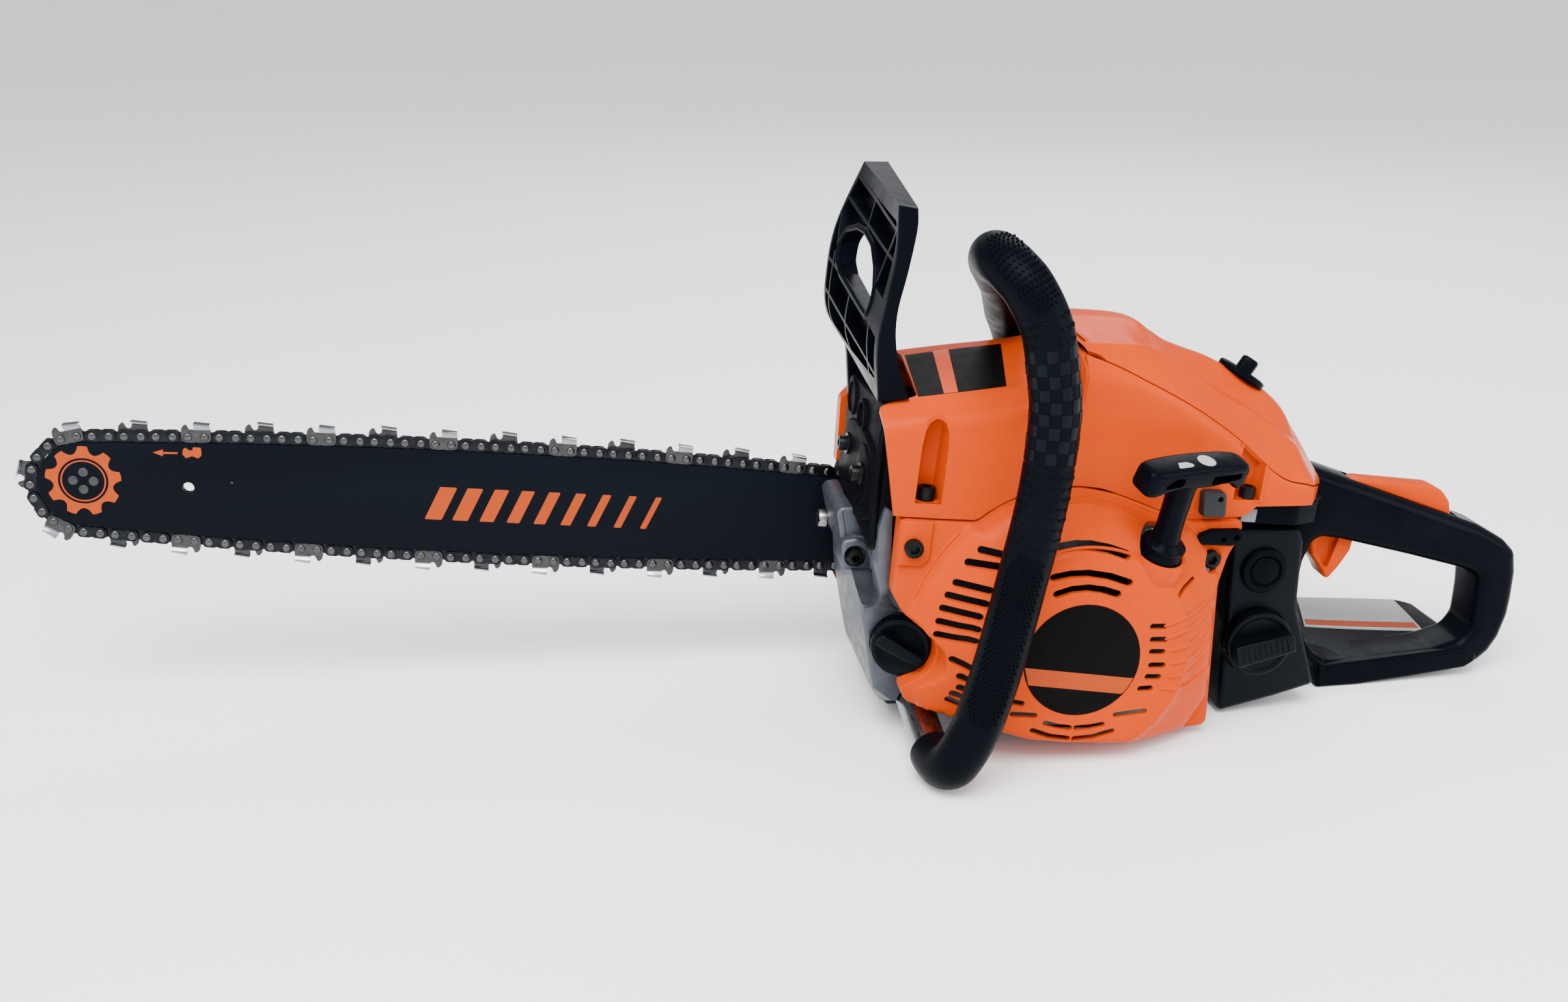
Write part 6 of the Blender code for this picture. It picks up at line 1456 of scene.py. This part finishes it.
# ------------------------------------------------------------------ muffler with its heat shield
muff = to_mesh(plate(fillet([(-88, 16), (-12, 16), (-12, 87), (-88, 87)], 9, 5), -192.5, -232, 4.0, 4, back=4.0))
muff.transform(Matrix(((0, -1, 0, 0), (1, 0, 0, 0), (0, 0, 1, 0), (0, 0, 0, 1))))
SH = fillet([(-12, 92), (-12, 66), (-20, 48), (-38, 30), (-60, 22), (-92, 15), (-104, 20), (-107, 56), (-104, 84), (-96, 96)], [6, 14, 14, 16, 20, 12, 8, 20, 10, 8], 5)


def shield(poly, x0, x1, r):
    out = []
    for k in range(4):
        a = math.pi / 2 * k / 3
        q = inset(poly, r * (1 - math.cos(a)))
        out.append(np.column_stack([np.full(len(q), x1 + r * (1 - math.sin(a))) + 0.035 * (-60 - q[:, 0]), q[:, 0], q[:, 1]]))
    q = np.asarray(poly, float)
    return loft([np.column_stack([np.full(len(q), x0) + 0.035 * (-60 - q[:, 0]), q[:, 0], q[:, 1]])] + out)


sh = to_mesh(shield(SH, 198.0, 189.8, 1.6))
raised = to_mesh(shield(fillet([(-17, 34), (-19, 56), (-28, 70.0), (-45.5, 73.6), (-66, 72.9), (-83.6, 68.7), (-92.3, 57.6), (-96.0, 46), (-94, 33), (-75, 25), (-48, 24)], [8, 10, 8, 16, 16, 10, 12, 10, 9, 16, 16], 5), 191.0, 187.4, 1.6))
collar = to_mesh(shield(fillet([(-59.0, 52), (-63, 66.0), (-74, 69.0), (-85.5, 62), (-88.5, 50), (-85, 40), (-74, 34.5), (-63, 39)], 9, 5), 189.0, 186.3, 1.0))
eyes = [to_mesh(rev((189.6, y, z), (-1, 0, 0), [(r + 2.4, -2.5), (r + 2.2, 1.0), (r + 1.6, 2.0), (r + 0.6, 2.2), (r, 1.6), (r - 0.3, -1.4), (0.02, -1.4)], 44)) for y, z, r in ((-25.0, 81.4, 8.2), (-52.6, 78.0, 7.4))]
ridge_v = [to_mesh(tube(spline([(190.8, y, 90.0), (189.2, y - 1.0, 78.0), (188.6, y - 1.6, 60.0), (189.4, y - 1.0, 40.0), (190.6, y, 26.0)], 3.0), 1.6, 12)) for y in (-99.5, -104.0)]
show("muffler_look", merged(muff, sh, raised, collar, *eyes, *ridge_v), HEAT, stands=("muffler",), sharp=36)
wash = join(*[rev((x, y, z), (-1, 0, 0), [(6.2, 0), (6.2, 0.9), (5.8, 1.2)], 32) for x, y, z in ((186.6, -35, 57), (186.8, -74, 52))])
show("muffler_bolts_look", merged(to_mesh(wash), socket_screw((186.2, -35, 57), (-1, 0, 0), 4.2, 5.2), socket_screw((186.4, -74, 52), (-1, 0, 0), 4.2, 5.2)), SCREW,
     stands=("muffler_bolt_upper", "muffler_bolt_lower"))

# ------------------------------------------------------------------ clutch cover
CV = fillet([(189.5, 33), (188.0, 72), (193, 76), (262, 76), (273, 62), (282, 36), (302, 34), (324, 27), (341, 9), (346, -12),
             (341, -32), (326, -48), (304, -56), (268, -58), (232, -54), (204, -46), (196, -38), (195, 28)], [5, 4, 4, 12, 10, 10, 20, 20, 20, 20, 20, 20, 20, 20, 20, 8, 8, 4], 4)
cv_rings = []
for y, i in ((4.6, 0.0), (14.0, 0.0), (24.0, 0.0), (34.0, 0.0), (40.0, 0.0), (42.0, 0.4), (44.0, 1.5), (45.3, 3.4), (46.0, 6.0)):
    q = inset(CV, i)
    lean = np.maximum(0.0, y - 14.0) * 0.4 * np.clip((222.0 - q[:, 0]) / 30.0, 0, 1)
    cv_rings.append(np.column_stack([q[:, 0] + lean, np.full(len(q), y), q[:, 1]]))
cv = cut(to_mesh(loft(cv_rings)), plate(capsule([(216, 0), (236, 0), (256, 0)], 13.0, 12), 43.4, 60, 0))
for z in (-22, -30, -38):
    cv = cut(cv, plate(capsule([(226, z), (250, z - 1), (272, z - 2)], 1.5), 40.0, 60, 0))
cv = cut(cv, join(*[plate(capsule([(300 + 26 * math.cos(a), -10 + 26 * math.sin(a)), (300 + 31 * math.cos(a), -10 + 31 * math.sin(a)), (300 + 36 * math.cos(a), -10 + 36 * math.sin(a))], 1.6), 40.0, 60, 0)
                    for a in np.radians(np.arange(0, 360, 30))]))
swell = to_mesh(rev((300, 44.0, -10), (0, 1, 0), [(23, 0), (22.4, 1.5), (20, 2.6), (0.02, 3.0)], 48))
show("clutch_cover_look", merged(cv, swell), ORANGE, stands=("clutch_cover",), sharp=34)
nuts = []
for x in (222.0, 250.0):
    hexa = [(x + 7.4 * math.cos(k * math.pi / 3), 7.4 * math.sin(k * math.pi / 3)) for k in range(6)]
    nuts += [plate(hexa, 46.4, 54.0, 0.8, 2), rev((x, 43.6, 0), (0, 1, 0), [(9.4, 0), (9.4, 2.4), (8.8, 3.0)], 32), rod((x, 50, 0), (x, 56, 0), 3.9, 20, 0.5)]
show("bar_nuts_look", to_mesh(join(*nuts)), ZINC, stands=("bar_nut_front", "bar_nut_rear"))

# ------------------------------------------------------------------ roof sticker
STICK = [[(198.3, -110.6), (248.3, -110.6)], [(203.2, -62.0), (256.0, -62.0)]]


def roof_z(x, y):
    sec = section(HOOD, x)
    top = sec[(sec[:, 1] > 90)]
    return float(np.interp(y, top[:, 0], top[:, 1]))


sticker = []
for u in np.linspace(0, 1, 13):
    row = []
    for w in np.linspace(0, 1, 13):
        x0, x1 = 204.0 + 1.5 * w, 249.5 + 8.0 * w
        y = -107.5 + 46.0 * w
        x = x0 + (x1 - x0) * u
        row.append((x, y, roof_z(x, y)))
    sticker.append(row)
low_s = [[(x, y, z + 0.02) for x, y, z in row] for row in sticker]
high_s = [[(x, y, z + 0.22) for x, y, z in row] for row in sticker]
nu, nw = 13, 13
sv = [q for row in low_s for q in row] + [q for row in high_s for q in row]
sf = []
for layer in range(2):
    for i in range(nu - 1):
        for j in range(nw - 1):
            a = layer * nu * nw + i * nw + j
            sf.append((a, a + nw, a + nw + 1, a + 1))
edge = [i * nw for i in range(nu)] + [(nu - 1) * nw + j for j in range(1, nw)] + [i * nw + nw - 1 for i in range(nu - 2, -1, -1)] + [j for j in range(nw - 2, 0, -1)]
for a, b in zip(edge, edge[1:] + edge[:1]):
    sf.append((a, b, b + nu * nw, a + nu * nw))
show("roof_sticker", to_mesh((np.array(sv), sf)), STICKER, sharp=30)
band = [[(204.0 + 1.5 * w + (45.5 + 6.5 * w) * u, -107.5 + 46.0 * w) for w in np.linspace(0, 1, 13)] for u in (0.29, 0.35, 0.40, 0.45)]
band = sheet([[(x, y, roof_z(x, y) + 0.30) for x, y in row] for row in band])
show("roof_sticker_band", thicken(facing(to_mesh(band), (230, -80, 40)), 0.06), ORANGE, sharp=30)
